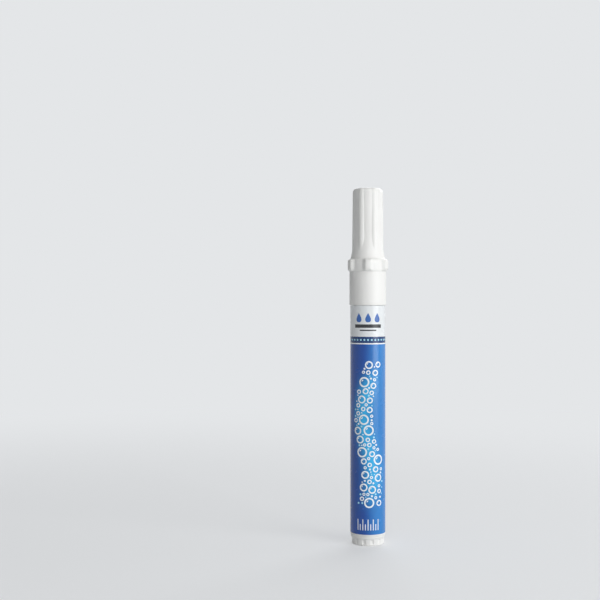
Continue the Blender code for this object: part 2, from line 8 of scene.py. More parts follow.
import bmesh
import bpy
import numpy as np
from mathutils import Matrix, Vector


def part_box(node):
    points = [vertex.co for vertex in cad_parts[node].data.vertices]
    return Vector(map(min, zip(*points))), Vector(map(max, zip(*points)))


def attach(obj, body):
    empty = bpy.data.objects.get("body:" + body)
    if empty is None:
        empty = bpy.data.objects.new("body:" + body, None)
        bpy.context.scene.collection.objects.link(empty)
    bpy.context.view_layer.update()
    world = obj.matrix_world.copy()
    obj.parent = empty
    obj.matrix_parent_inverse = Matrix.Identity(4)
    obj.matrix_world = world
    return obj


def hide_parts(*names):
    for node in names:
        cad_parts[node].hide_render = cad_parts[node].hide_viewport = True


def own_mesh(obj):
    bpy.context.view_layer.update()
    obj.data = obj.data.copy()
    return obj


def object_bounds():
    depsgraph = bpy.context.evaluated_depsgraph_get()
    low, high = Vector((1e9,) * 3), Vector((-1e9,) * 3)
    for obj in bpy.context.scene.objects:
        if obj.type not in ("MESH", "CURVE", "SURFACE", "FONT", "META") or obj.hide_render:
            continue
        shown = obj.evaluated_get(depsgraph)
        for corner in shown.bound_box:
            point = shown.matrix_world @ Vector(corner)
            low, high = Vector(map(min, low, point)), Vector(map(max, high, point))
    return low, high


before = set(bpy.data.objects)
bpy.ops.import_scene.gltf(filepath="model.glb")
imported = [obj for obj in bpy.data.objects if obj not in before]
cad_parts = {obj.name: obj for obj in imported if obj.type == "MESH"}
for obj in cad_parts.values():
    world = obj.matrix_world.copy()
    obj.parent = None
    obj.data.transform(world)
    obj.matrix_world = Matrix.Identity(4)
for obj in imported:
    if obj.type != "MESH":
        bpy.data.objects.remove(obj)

MM = 0.001
frame_low, frame_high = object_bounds()
frame_height = (frame_high.z - frame_low.z) / MM
print(f"The frame is {frame_height:.1f} mm tall and holds {len(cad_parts)} pieces")

# %% [markdown]
# ## Reading sizes from the frame
# Almost every piece of a pen is turned round one axis, so a piece is described by where it
# starts, where it ends and how wide it is. All sizes in this script are in millimetres. They
# are turned into Blender's metres only where they are handed over to it.


# %% Ends and radius of a solid
def extent(node):
    """Lowest height, highest height and radius towards the front of a solid, in millimetres."""
    low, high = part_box(node)
    return low.z / MM, high.z / MM, -low.y / MM


cap_mouth, cap_top, lug_radius = extent("cap")
barrel_rear, neck_top, rim_radius = extent("barrel")
film_low, film_high, film_radius = extent("label_sleeve")
print(f"Cap from {cap_mouth:.1f} to {cap_top:.1f} mm, film from {film_low:.1f} to {film_high:.1f} mm")

# %% [markdown]
# ## A surface from a grid of points
# A turned or swept piece is a sheet of points with rows and columns. The columns go once
# round and meet again, and the rows run along the profile. Working on whole arrays keeps this
# fast, and one rule for the order of a face's corners keeps every face pointing outwards: the
# rows run down the outer side and the columns turn from the front towards +X. Where a row has
# shrunk to a point on the axis, its corners are welded, which closes the pole.


# %% Faces of a grid
def grid_faces(rows, columns, ring):
    """Corner numbers of a grid's quads, four to a face, and each corner's place on a flat map.

    Corner (row, column) has the number row x columns + column. The last column is followed by
    the first, and on a ring the last row is followed by the first as well. On the map, across
    is the share of the way round, and down is the share of the way along the rows.
    """
    down = np.arange(rows if ring else rows - 1)[:, None, None] + np.array([0, 1, 1, 0])
    across = np.arange(columns)[None, :, None] + np.array([0, 0, 1, 1])
    faces = (down % rows) * columns + across % columns
    places = np.stack(np.broadcast_arrays(across / columns, 1 - down / rows), axis=-1)
    return faces.reshape(-1, 4), places.reshape(-1, 2)


# %% A mesh piece
WELD = 0.0001
SHARP_EDGE = np.radians(50)


def into_scene(name, data):
    """A new object for a mesh, a lamp or a camera."""
    made = bpy.data.objects.new(name, data)
    bpy.context.scene.collection.objects.link(made)
    return made


def piece(name, points, finish, body, ring=False, stands_for=()):
    """Makes one piece from grids of points, gives it a finish and lets it ride on its body.

    The points have the shape (rows, columns, 3), or (copies, rows, columns, 3) for a piece
    made of several equal grids.
    """
    grids = points.reshape(-1, *points.shape[-3:])
    copies, rows, columns = grids.shape[:3]
    faces, places = grid_faces(rows, columns, ring)
    all_faces = faces + np.arange(copies)[:, None, None] * rows * columns
    mesh = bpy.data.meshes.new(name)
    mesh.from_pydata((grids.reshape(-1, 3) * MM).tolist(), [], all_faces.reshape(-1, 4).tolist())
    flat_map = mesh.uv_layers.new(name="Wrap")
    flat_map.data.foreach_set("uv", np.tile(places, (copies, 1)).ravel())
    shape = bmesh.new()
    shape.from_mesh(mesh)
    bmesh.ops.remove_doubles(shape, verts=shape.verts, dist=WELD * MM)
    volume = shape.calc_volume(signed=True) / MM ** 3
    triangles = sum(len(face.verts) - 2 for face in shape.faces)
    open_edges = sum(1 for edge in shape.edges if len(edge.link_faces) != 2)
    shape.to_mesh(mesh)
    shape.free()
    mesh.shade_smooth()
    mesh.set_sharp_from_angle(angle=SHARP_EDGE)
    mesh.materials.append(finish)
    made = into_scene(name, mesh)
    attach(made, body)
    if stands_for:
        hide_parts(*stands_for)
    print(f"{name}: {triangles} triangles, {volume:.1f} mm3, {open_edges} open edges")
    return made


# %% [markdown]
# ## Profiles with rounded corners
# Moulded plastic has no sharp corner, and the thin bright line on a rounded edge is much of
# what makes it look real. A Bevel modifier would round all corners by one width. Here a
# profile is written as a few corners, each with its own rounding, so that a soft edge and a
# crisp one can sit on one piece. The rounding is an arc that touches both neighbouring
# straight runs. A guard row close to each arc keeps the flat stretch beside it shaded flat.

# %% Arc at a corner
ARC_STEP = np.radians(15)
RUN_SHARE = 0.45


def corner_arc(before, corner, after, rounding):
    """Points of the arc of one radius that touches both runs that meet at a corner.

    The arc's centre lies on the line that halves the corner, at radius / sin(half the angle).
    The radius is cut down where a run is too short for it.
    """
    towards = np.array([before - corner, after - corner])
    lengths = np.linalg.norm(towards, axis=1)
    towards = towards / lengths[:, None]
    half = np.arccos(np.clip(towards[0] @ towards[1], -1, 1)) / 2
    reach = min(rounding / np.tan(half), RUN_SHARE * lengths.min())
    radius = reach * np.tan(half)
    halving = towards.sum(axis=0) / np.linalg.norm(towards.sum(axis=0))
    centre = corner + halving * radius / np.sin(half)
    sweep = np.pi - 2 * half
    count = max(2, int(np.ceil(sweep / ARC_STEP)))
    lean = sweep * np.linspace(-0.5, 0.5, count + 1)[:, None]
    across = (towards[1] - towards[0]) / np.linalg.norm(towards[1] - towards[0])
    return centre + radius * (np.sin(lean) * across - np.cos(lean) * halving)


# %% Rounded profile
GUARD = 0.12
LONGEST_STEP = 4.0


def run_points(start, end):
    """Points between the ends of a straight run: a guard near each end and even steps between."""
    length = np.linalg.norm(end - start)
    if length < 3 * GUARD:
        return np.empty((0, 2))
    inner = length - 2 * GUARD
    steps = max(1, int(np.ceil(inner / LONGEST_STEP)))
    along = GUARD + inner * np.linspace(0, 1, steps + 1)
    return start + (end - start) * along[:, None] / length


def rounded(corners, ring):
    """Radius and height of the rows of a profile given as (radius, height, rounding) corners.

    A corner with no rounding stays a point. A ring's profile closes on itself.
    """
    table = np.array(corners, float)
    places = table[:, :2]
    neighbours = zip(np.roll(places, 1, axis=0), places, np.roll(places, -1, axis=0), table[:, 2])
    arcs = [corner_arc(*given) if given[3] else given[1][None] for given in neighbours]
    rows = []
    for arc, following in zip(arcs, arcs[1:] + arcs[:1]):
        rows += [arc, run_points(arc[-1], following[0])]
    return np.concatenate(rows if ring else rows[:-1]).T


# %% Turning a profile
def steps_round(columns):
    """Angles of so many even steps once round."""
    return np.arange(columns) * 2 * np.pi / columns


def wrap(radius, angle, height):
    """Points at a radius, an angle from the front towards +X, and a height."""
    turned = (radius * np.sin(angle), -radius * np.cos(angle), height)
    return np.stack(np.broadcast_arrays(*turned), axis=-1)


def turn(corners, ring=False, columns=160):
    """A rounded profile carried once round the axis."""
    radius, height = rounded(corners, ring)[..., None]
    return wrap(radius, steps_round(columns), height)


# %% [markdown]
# ## Finishes
# A finish is a small tree of nodes round the Principled shader. The colours are written as
# they look on screen and turned to the linear values that the shader needs. One function
# adds a node, sets it and links it. Most of the pen's materials have one grain that shows in
# their colour and gloss at once, and in some in their relief too, so a second function lets
# one pattern run all three. The grain itself is a noise of a real size in millimetres.


# %% Colours and nodes
def linear(hex_colour):
    """Linear RGBA of an sRGB hex colour, by the standard's two-part curve."""
    code = hex_colour.lstrip("#")
    shown = np.array([int(code[index:index + 2], 16) for index in (0, 2, 4)]) / 255
    light = np.where(shown <= 0.04045, shown / 12.92, ((shown + 0.055) / 1.055) ** 2.4)
    return (*light.tolist(), 1.0)


def add(material, kind, inputs, **settings):
    """Adds a shader node with its settings and returns its outputs.

    An input is a value, or another node's output to link. The material may also be the world,
    which holds a tree of nodes as well.
    """
    node = material.node_tree.nodes.new("ShaderNode" + kind)
    for name, value in settings.items():
        setattr(node, name, value)
    for socket, value in inputs.items():
        if isinstance(value, bpy.types.NodeSocket):
            material.node_tree.links.new(value, node.inputs[socket])
        else:
            node.inputs[socket].default_value = value
    return node.outputs


def new_finish(name, **values):
    """A material with a Principled shader, its fixed values set on the shader's own sockets."""
    material = bpy.data.materials.new(name)
    material.use_nodes = True
    shader = material.node_tree.nodes["Principled BSDF"]
    for socket, value in values.items():
        shader.inputs[socket.replace("_", " ")].default_value = value
    return material


# %% Patterns
def per_mm(size):
    """Scale of a noise on Object coordinates whose patches are so many millimetres wide."""
    return 1 / (size * MM)


def feed(material, socket, output):
    """Links an output to a socket of the material's Principled shader."""
    shader = material.node_tree.nodes["Principled BSDF"]
    material.node_tree.links.new(output, shader.inputs[socket])


def follow(material, pattern, colours=None, roughness=None, relief=None):
    """Lets one pattern run the colour, the roughness and the relief of a finish.

    The colours are two hex values, the roughness goes from one number to another, and the
    relief is a strength and a depth in millimetres.
    """
    if colours:
        ends = {0: pattern, 6: linear(colours[0]), 7: linear(colours[1])}
        feed(material, "Base Color", add(material, "Mix", ends, data_type="RGBA")[2])
    if roughness:
        ends = {"Value": pattern, "To Min": roughness[0], "To Max": roughness[1]}
        feed(material, "Roughness", add(material, "MapRange", ends)[0])
    if relief:
        ends = {"Height": pattern, "Strength": relief[0], "Distance": relief[1] * MM}
        feed(material, "Normal", add(material, "Bump", ends)[0])


def grain_finish(name, size, detail, colours, roughness, relief=None, stretch=1.0, **values):
    """A finish whose colour, roughness and relief all follow its grain, a noise of one size.

    The stretch is what heights are multiplied by: a small one draws the grain out up the pen.
    """
    material = new_finish(name, **values)
    place = add(material, "TexCoord", {})["Object"]
    drawn = add(material, "Mapping", {"Vector": place, "Scale": (1, 1, stretch)})[0]
    noise = {"Vector": drawn, "Scale": per_mm(size), "Detail": detail}
    follow(material, add(material, "TexNoise", noise)[0], colours, roughness, relief)
    return material


# %% [markdown]
# ### Moulded polypropylene
# The cap, plug, nose and barrel are injection-moulded polypropylene in opaque white. The
# steel mould was lightly polished, so the skin is satin with a fine orange peel, and the
# plastic's flow leaves patches that are barely lighter and darker along the pen. One noise
# can't be both, so a fine one runs the gloss and the relief, and a wide one, drawn out up the
# pen, runs the colour.

# %% White polypropylene
SKIN_GRAIN = 0.45
FLOW_PATCH = 7.0
FLOW_STRETCH = 0.35

white_plastic = new_finish("moulded_polypropylene", IOR=1.49, Specular_IOR_Level=0.5)
place = add(white_plastic, "TexCoord", {})["Object"]
drawn = add(white_plastic, "Mapping", {"Vector": place, "Scale": (1, 1, FLOW_STRETCH)})[0]
patches = {"Vector": drawn, "Scale": per_mm(FLOW_PATCH), "Detail": 3.0}
skin = {"Vector": place, "Scale": per_mm(SKIN_GRAIN), "Detail": 2.0}
flow = add(white_plastic, "TexNoise", patches)[0]
peel = add(white_plastic, "TexNoise", skin)[0]
follow(white_plastic, flow, colours=("#E6E6E3", "#F0F0EE"))
follow(white_plastic, peel, roughness=(0.36, 0.50), relief=(0.35, 0.012))
print(f"{white_plastic.name}: peel {SKIN_GRAIN} mm, flow patches {FLOW_PATCH} mm")

# %% [markdown]
# ### Printed shrink film
# The label is a clear film printed on its inner side and shrunk on with hot air, so its
# colours lie under a smooth, glossy skin. The print has a white head, a dark band, a thin
# white line and a deep blue field with a lighter glow that sways up the front. On the side
# that faces the lamps the blue is painted lighter, a painted light side, and it stays the deep
# blue round the back. The zones are steps along the height, the glow is a bell curve across a
# swaying line, and the painted light side is a cosine of the way round. All of it is worked out
# from the place on the film, so it wraps round without a picture. The sums are a table with one
# step a line, because that reads like a sum on paper, and a loop makes a node of each.

# %% The print's layout
FIELD_TOP = 75.95
BAND_LOW = 76.4
BAND_TOP = 78.8
GLOW_LOW = 12.0
GLOW_TOP = 70.0
GLOW_FADE = 13.0
GLOW_WIDTH = 3.1
SWAY = 1.9
SWAY_LENGTH = 47.0
SWAY_START = 14.0
# The blue is painted lighter towards this side, where the lamps fall: painted light, not print.
PAINTED_LIGHT_SIDE = np.radians(62)
PAINTED_LIGHT_EDGE = 0.17


def sway(height):
    """How far the print's flowing line lies to the right of the front: a sine up the film."""
    return SWAY * np.sin(2 * np.pi * (height - SWAY_START) / SWAY_LENGTH)


# %% Sums over the film
FILM_SUMS = (
    ("forward", "MULTIPLY", "y", -1.0),
    ("angle", "ARCTAN2", "x", "forward"),
    ("across", "MULTIPLY", "angle", film_radius),
    ("height", "MULTIPLY", "z", 1 / MM),
    ("climbed", "SUBTRACT", "height", SWAY_START),
    ("phase", "MULTIPLY", "climbed", 2 * np.pi / SWAY_LENGTH),
    ("wave", "SINE", "phase"),
    ("line", "MULTIPLY", "wave", SWAY),
    ("from_line", "SUBTRACT", "across", "line"),
    ("aside", "DIVIDE", "from_line", GLOW_WIDTH),
    ("squared", "MULTIPLY", "aside", "aside"),
    ("fall", "MULTIPLY", "squared", -1.0),
    ("bell", "EXPONENT", "fall"),
    # Angle from the side where the lighter blue is painted as painted light.
    ("turned", "SUBTRACT", "angle", PAINTED_LIGHT_SIDE),
    ("facing_painted_light", "COSINE", "turned"),
    ("in_line", "GREATER_THAN", "height", FIELD_TOP),
    ("in_band", "GREATER_THAN", "height", BAND_LOW),
    ("in_head", "GREATER_THAN", "height", BAND_TOP),
)

printed_film = new_finish("printed_shrink_film", IOR=1.5, Coat_Weight=0.1, Coat_Roughness=0.22)
film_place = add(printed_film, "TexCoord", {})["Object"]
known = dict(zip("xyz", add(printed_film, "SeparateXYZ", {0: film_place})))
for result, operation, *terms in FILM_SUMS:
    inputs = {index: known.get(term, term) for index, term in enumerate(terms)}
    known[result] = add(printed_film, "Math", inputs, operation=operation)[0]
print(f"{len(known)} values are known at each place on the film")

# %% Glow of the field
CLOUD_PATCH = 9.0
GLOW_WEAKEST = 0.75
GLOW_STRONGEST = 1.05
FILM_RAMPS = (
    ("rise", "height", GLOW_LOW, GLOW_LOW + GLOW_FADE),
    ("fade", "height", GLOW_TOP, GLOW_TOP - GLOW_FADE),
    # Painted light: how much lighter the blue is painted on the side facing the lamps.
    ("lighter", "facing_painted_light", PAINTED_LIGHT_EDGE, 1.0),
)

for result, source, start, end in FILM_RAMPS:
    inputs = {"Value": known[source], "From Min": start, "From Max": end}
    known[result] = add(printed_film, "MapRange", inputs, interpolation_type="SMOOTHSTEP")[0]
clouds = {"Vector": film_place, "Scale": per_mm(CLOUD_PATCH), "Detail": 2.0}
cloud = add(printed_film, "TexNoise", clouds)[0]
ends = {"Value": cloud, "To Min": GLOW_WEAKEST, "To Max": GLOW_STRONGEST}
glow = add(printed_film, "MapRange", ends)[0]
for factor in ("bell", "rise", "fade"):
    glow = add(printed_film, "Math", {0: glow, 1: known[factor]}, operation="MULTIPLY")[0]
print(f"The glow fades over {GLOW_FADE} mm at both ends")

# %% Colours and skin of the film
RIPPLE_WIDTH = 2.2

print_colour = linear("#114A9F")
# The first mix paints the blue lighter on the side that faces the lamps, as painted light.
for amount, hex_colour in (
    (known["lighter"], "#2B7FC9"),
    (glow, "#35B4EC"),
    (known["in_line"], "#EDF0F2"),
    (known["in_band"], "#123A70"),
    (known["in_head"], "#E2E6E8"),
):
    ends = {0: amount, 6: print_colour, 7: linear(hex_colour)}
    print_colour = add(printed_film, "Mix", ends, data_type="RGBA")[2]
feed(printed_film, "Base Color", print_colour)
ripples = {"Vector": film_place, "Scale": per_mm(RIPPLE_WIDTH), "Detail": 1.0}
ripple = add(printed_film, "TexNoise", ripples)[0]
follow(printed_film, ripple, roughness=(0.22, 0.30), relief=(0.16, 0.02))
print(f"{printed_film.name}: blue field up to {FIELD_TOP} mm, band {BAND_LOW} to {BAND_TOP} mm")

# %% [markdown]
# ### Printing inks
# The motifs on the film are ink too, but each is its own thin piece, so that its edge stays
# crisp however near the camera comes. Screen ink lies on in a layer of one or two hundredths
# of a millimetre and shows a faint, even grain. The real grain is too fine for a picture of
# the whole pen, so it is drawn a quarter of a millimetre wide.

# %% Ink
INK_GRAIN = 0.25


def make_ink(name, dark, light):
    """Screen-printed ink with a faint grain between two near shades."""
    return grain_finish(
        name, INK_GRAIN, 2.0, (dark, light), (0.28, 0.4),
        IOR=1.5, Coat_Weight=0.2, Coat_Roughness=0.2,
    )


white_ink = make_ink("white_screen_ink", "#E4EBEF", "#F4F8FA")
pale_ink = make_ink("pale_blue_screen_ink", "#8FD3EE", "#B4E6F6")
blue_ink = make_ink("blue_screen_ink", "#2A5FA8", "#3569B4")
dark_ink = make_ink("dark_screen_ink", "#1D2024", "#2A2D31")
print("Inks:", white_ink.name, pale_ink.name, blue_ink.name, dark_ink.name)

# %% [markdown]
# ### Natural polyethylene
# The liner inside the cap and the parts of the valve are unpigmented polyethylene. Thin, it
# is milky and lets light through. Full transmission would look like glass and none like
# chalk, so the shader mixes some of it into a pale body.

# %% Natural polyethylene
HAZE_PATCH = 1.5

clear_plastic = grain_finish(
    "natural_polyethylene", HAZE_PATCH, 3.0, ("#DCE1E2", "#F0F3F3"), (0.32, 0.5),
    IOR=1.51, Transmission_Weight=0.35,
)
print(f"{clear_plastic.name}: haze {HAZE_PATCH} mm")

# %% [markdown]
# ### Nitrile rubber, drawn steel and bonded felt
# The seal is a washer punched from matt black rubber with a dusty grain. The spring is
# stainless wire pulled through a die, which leaves fine streaks along it. They are counted
# round and along the wire on its own map, so that each is about a tenth of a millimetre wide
# and over a millimetre long. The nib is polyester fibre bonded into a rod and ground to a
# point: dull, off-white, streaked along its length, and with the soft edge light of cloth.
# Its real fibres are a few hundredths of a millimetre thick and are drawn coarser to show.

# %% Rubber
RUBBER_GRAIN = 0.2

seal_rubber = grain_finish(
    "nitrile_rubber", RUBBER_GRAIN, 4.0, ("#151515", "#2C2C2B"), (0.6, 0.85), (0.4, 0.01), IOR=1.5,
)
print(f"{seal_rubber.name}: grain {RUBBER_GRAIN} mm")

# %% Drawn steel
STREAKS_ROUND = 14
STREAKS_ALONG = 60

spring_steel = new_finish("drawn_stainless_steel", Metallic=1.0)
wrapped = add(spring_steel, "UVMap", {}, uv_map="Wrap")[0]
counted = {"Vector": wrapped, "Scale": (STREAKS_ROUND, STREAKS_ALONG, 1)}
streaks = {"Vector": add(spring_steel, "Mapping", counted)[0], "Scale": 1.0, "Detail": 3.0}
streak = add(spring_steel, "TexNoise", streaks)[0]
follow(spring_steel, streak, colours=("#A9AAAC", "#D2D3D5"), roughness=(0.2, 0.42))
print(f"{spring_steel.name}: {STREAKS_ROUND} streaks round the wire")

# %% Felt
FIBRE_WIDTH = 0.12
FIBRE_LENGTH = 2.5

nib_felt = grain_finish(
    "bonded_polyester_felt", FIBRE_WIDTH, 4.0, ("#CFCBC1", "#F0EEE8"), (0.8, 0.98), (0.7, 0.04),
    stretch=FIBRE_WIDTH / FIBRE_LENGTH, IOR=1.45, Sheen_Weight=0.25, Sheen_Roughness=0.5,
)
print(f"{nib_felt.name}: fibres {FIBRE_WIDTH} mm wide")

# %% [markdown]
# ## The barrel
# The barrel is moulded round a long steel core: a thin tube with a stepped-in neck for the
# cap and a low rim at its rear end that the film butts against. A bead round the neck is
# what the cap snaps over. A Screw modifier could turn a drawn profile, but this one is worked
# out from the frame's own heights, so the piece can't drift from its solid. Most of it lies
# under the film, so it only needs the steps and their rounded edges. In the frame, pieces
# that are pressed together keep a gap at their seats. Seen close it would be a dark line that
# a real pen doesn't have, so the visible rim, tube and film reach almost to their neighbours.

# %% Barrel
BARREL_BORE = 5.73
FILM_THICKNESS = 0.10
FILM_SLACK = 0.03
RIM_HEIGHT = 0.5
SEAT_GAP = 0.3
CLOSED_GAP = 0.08
NECK_RADIUS = 5.60
NECK_BORE = 4.75
NECK_STEP = 0.85
BEAD_RADIUS = 5.78
BEAD_HEIGHT = neck_top - 4.0
BEAD_HALF = 0.6
BEAD_FLAT = 0.15

barrel_radius = film_radius - FILM_THICKNESS - FILM_SLACK
rim_foot = barrel_rear - SEAT_GAP + CLOSED_GAP
neck_foot = cap_mouth - SEAT_GAP
barrel_corners = [
    (NECK_BORE, neck_top, 0.15),
    (NECK_RADIUS, neck_top, 0.25),
    (NECK_RADIUS, BEAD_HEIGHT + BEAD_HALF, 0.3),
    (BEAD_RADIUS, BEAD_HEIGHT + BEAD_FLAT, 0.3),
    (BEAD_RADIUS, BEAD_HEIGHT - BEAD_FLAT, 0.3),
    (NECK_RADIUS, BEAD_HEIGHT - BEAD_HALF, 0.3),
    (NECK_RADIUS, neck_foot, 0.15),
    (barrel_radius, neck_foot, 0.2),
    (barrel_radius, barrel_rear + RIM_HEIGHT, 0.03),
    (rim_radius, barrel_rear + RIM_HEIGHT, 0.1),
    (rim_radius, rim_foot, 0.1),
    (BARREL_BORE, rim_foot, 0.1),
    (BARREL_BORE, neck_foot - 2 * NECK_STEP, 0.5),
    (NECK_BORE, neck_foot - NECK_STEP, 0.5),
]
piece(
    "barrel_shell", turn(barrel_corners, ring=True), white_plastic,
    "pen_body", ring=True, stands_for=["barrel"],
)

# %% [markdown]
# ## The film
# The film is a tenth of a millimetre thick. It is a tube of its own round the barrel, with
# its two edges where the cutter left them and a welded seam up the back, which stands a
# little proud. A Solidify modifier could thicken a bare sheet. A thin closed profile does the
# same and also shapes the two cut edges.

# %% Film
SEAM_WIDTH = 1.6
SEAM_HEIGHT = 0.03


def film_points(columns=240):
    """The film's grid: a thin closed profile whose outer side rises at the seam.

    The seam is a flat-topped bell opposite the front: the exponential of minus the fourth
    power of the way from its middle over half its width.
    """
    top_edge = cap_mouth - CLOSED_GAP
    low_edge = barrel_rear + RIM_HEIGHT + CLOSED_GAP / 2
    corners = [
        (film_radius - FILM_THICKNESS, top_edge, 0.02),
        (film_radius, top_edge, 0.04),
        (film_radius, low_edge, 0.04),
        (film_radius - FILM_THICKNESS, low_edge, 0.02),
    ]
    radius, height = rounded(corners, ring=True)[..., None]
    angle = steps_round(columns)
    from_seam = (angle - np.pi) * film_radius
    seam = SEAM_HEIGHT * np.exp(-(from_seam / (SEAM_WIDTH / 2)) ** 4)
    outer = np.clip((radius - film_radius + FILM_THICKNESS) / FILM_THICKNESS, 0, 1)
    return wrap(radius + outer * seam, angle, height)


piece(
    "label_film", film_points(), printed_film,
    "pen_body", ring=True, stands_for=["label_sleeve"],
)

# %% [markdown]
# ## Ink shapes on the film
# A motif is drawn flat, with its places across and up the film in millimetres, and then
# wrapped round the pen: the way across becomes an angle, and the thickness of the ink a
# slightly larger radius. Dots, rings and drops are one kind of shape, an outline shrunk
# towards its own middle. A ring stops short of the middle, and a dot goes right to it.

# %% Wrapped outlines
INK_TOP = 0.015
INK_SUNK = 0.03


def ink_points(across, up, lift):
    """Points of a flat drawing laid round the film, raised or sunk by a lift."""
    return wrap(film_radius + lift, across / film_radius, up)


def ink_outlines(centres, outlines, inner=0.0):
    """Grids of flat outlines shrunk towards their centres.

    inner is the share of the outline where a ring's hole starts, or 0 for a filled shape. The
    rows go out along the top from the inner edge to the rim and back along the underside.
    """
    inner = np.broadcast_to(inner, len(centres))[:, None]
    outward = np.array([0, 1 / 3, 2 / 3, 1])
    share = np.concatenate([outward, outward[::-1]])
    lift = np.where(np.arange(len(share)) < len(outward), INK_TOP, -INK_SUNK)
    size = inner + (1 - inner) * share
    flat = centres[:, None, None, :] + size[:, :, None, None] * outlines[:, None, :, :]
    return ink_points(flat[..., 0], flat[..., 1], lift[None, :, None])


def circles(radii, columns=40):
    """Outlines of circles of several radii."""
    angle = steps_round(columns)
    unit = np.stack([np.cos(angle), np.sin(angle)], axis=-1)
    return radii[:, None, None] * unit[None]


def print_ink(name, points, finish, ring=False):
    """One printed piece, which rides with the film."""
    piece(name, points, finish, "pen_body", ring=ring)


# %% [markdown]
# ## The stream of bubbles
# The field carries a stream of soap bubbles that rises along the swaying line: large rings
# low down, small rings and dots near the top. Each bubble is tried at random places in the
# stream and kept where it stays clear of those already there, with the largest placed first,
# as pebbles go into a jar before sand. The random numbers have a fixed seed, so the print is
# the same each time.

# %% Places of the bubbles
STREAM_LOW = 16.0
STREAM_TOP = 69.0
STREAM_HALF_WIDTH = 3.3
STREAM_FOOT = 1.1
NARROWING = 0.45
EDGE_SHIFT = 0.9
EDGE_SHARE = 0.45
LARGE_FROM = 1
LARGE_SINK = 1.3
BUBBLE_GAP = 0.28
BUBBLE_SIZES = ((1.95, 6), (1.5, 8), (1.15, 10), (0.85, 14), (0.6, 16), (0.38, 24), (0.25, 22))
TRIES = 400

chance = np.random.default_rng(21)


def place_bubbles():
    """Centres and radii of the bubbles, as one array of (across, up, radius).

    A power of the random height draws the large ones low. The stream narrows as it rises, and
    a large bubble keeps further from its edge.
    """
    kept = np.empty((0, 3))
    for radius, count in BUBBLE_SIZES:
        for _ in range(count):
            share = chance.random((TRIES, 2))
            rise = share[:, 1] ** (1.0 if radius < LARGE_FROM else LARGE_SINK)
            up = STREAM_LOW + (STREAM_TOP - STREAM_LOW) * rise
            width = STREAM_HALF_WIDTH * (STREAM_FOOT - NARROWING * rise)
            width = width + EDGE_SHIFT - EDGE_SHARE * radius
            across = sway(up) + (2 * share[:, 0] - 1) * width
            tried = np.column_stack([across, up, np.full(TRIES, radius)])
            apart = tried[:, None, :2] - kept[None, :, :2]
            room = np.hypot(apart[..., 0], apart[..., 1]) - kept[None, :, 2] - radius
            free = np.flatnonzero((room > BUBBLE_GAP).all(axis=1))
            if len(free):
                kept = np.vstack([kept, tried[free[0]]])
    return kept


bubbles = place_bubbles()
print(f"{len(bubbles)} bubbles placed")

# %% Rings and dots
THIN_LINE = 0.26
LINE_GROWTH = 0.17
DOT_LIMIT = 0.4

is_ring = bubbles[:, 2] > DOT_LIMIT
rings = bubbles[is_ring]
dots = bubbles[~is_ring]
hole = 1 - (THIN_LINE + LINE_GROWTH * rings[:, 2]) / rings[:, 2]
ring_grids = ink_outlines(rings[:, :2], circles(rings[:, 2]), hole)
print_ink("print_bubble_rings", ring_grids, white_ink, ring=True)
for name, some, finish in (
    ("print_bubble_dots", dots[1::2], white_ink),
    ("print_pale_dots", dots[::2], pale_ink),
):
    print_ink(name, ink_outlines(some[:, :2], circles(some[:, 2])), finish)

# %% [markdown]
# A bubble looks round because a window is mirrored in it, so each larger ring gets a short
# curved glint inside its upper left. The glint is a stroke: a path with a width that swells
# from nothing and back to nothing, which closes both of its ends.


# %% Strokes
def ink_strokes(paths, widths):
    """Grids of strokes along flat paths.

    Each path has the shape (points, 2). A stroke's section is a flat box: its sides lie half
    the width to the left and right of the path, and its first and last sections are points.
    """
    ahead = np.gradient(paths, axis=1)
    ahead = ahead / np.linalg.norm(ahead, axis=-1, keepdims=True)
    left = np.stack([-ahead[..., 1], ahead[..., 0]], axis=-1)
    side = np.array([-1, -1, 1, 1])
    lift = np.array([-INK_SUNK, INK_TOP, INK_TOP, -INK_SUNK])
    swell = np.ones(paths.shape[1])
    swell[[0, -1]] = 0
    flat = paths[:, :, None, :] + left[:, :, None, :] * (widths[..., None, None] / 2) * side[:, None]
    lifts = lift[None, None, :] * swell[None, :, None]
    return ink_points(flat[..., 0], flat[..., 1], lifts)


# %% Glints
GLINT_LIMIT = 0.7
GLINT_PLACE = 0.47
GLINT_WIDTH = 0.2

shiny = rings[rings[:, 2] > GLINT_LIMIT]
bend = np.radians(np.linspace(108, 172, 15))
glint_arc = GLINT_PLACE * np.stack([np.cos(bend), np.sin(bend)], axis=-1)
glint_paths = shiny[:, None, :2] + shiny[:, None, 2:] * glint_arc
glint_widths = GLINT_WIDTH * shiny[:, 2:] * np.sin(np.linspace(0, np.pi, len(bend)))
print_ink("print_bubble_glints", ink_strokes(glint_paths, glint_widths), white_ink)

# %% [markdown]
# ## The plain marks
# Low on the field stands a row of thin upright lines, long and short by turns, like the
# marks on a ruler. The dark band has an even row of pale dots that stops short of the seam,
# and the white head has three drops over a dark bar and a thin rule. None of them says
# anything: they give the print the places and the weights that such a label has.

# %% Upright marks
MARK_COUNT = 9
MARK_PITCH = 1.0
MARK_LOW = 6.1
MARK_LONG = 4.1
MARK_SHORT = 2.3
MARK_LINE = 0.34
MARK_END = 0.75
MARK_SWELL = 12

number = np.arange(MARK_COUNT)
mark_across = (number - (MARK_COUNT - 1) / 2) * MARK_PITCH
mark_height = np.where(number % 2 == 0, MARK_LONG, MARK_SHORT)
climb = np.array([0, 0.0001, 0.02, 0.25, 0.5, 0.75, 0.98, 0.9999, 1])
mark_places = np.broadcast_arrays(mark_across[:, None], MARK_LOW + mark_height[:, None] * climb)
mark_widths = MARK_LINE * np.minimum(1, MARK_SWELL * np.minimum(climb, 1 - climb) + MARK_END)
mark_widths[[0, -1]] = 0
mark_grids = ink_strokes(np.stack(mark_places, axis=-1), np.tile(mark_widths, (MARK_COUNT, 1)))
print_ink("print_upright_marks", mark_grids, white_ink)

# %% Dots of the dark band
BAND_DOTS = 29
BAND_DOT_RADIUS = 0.36

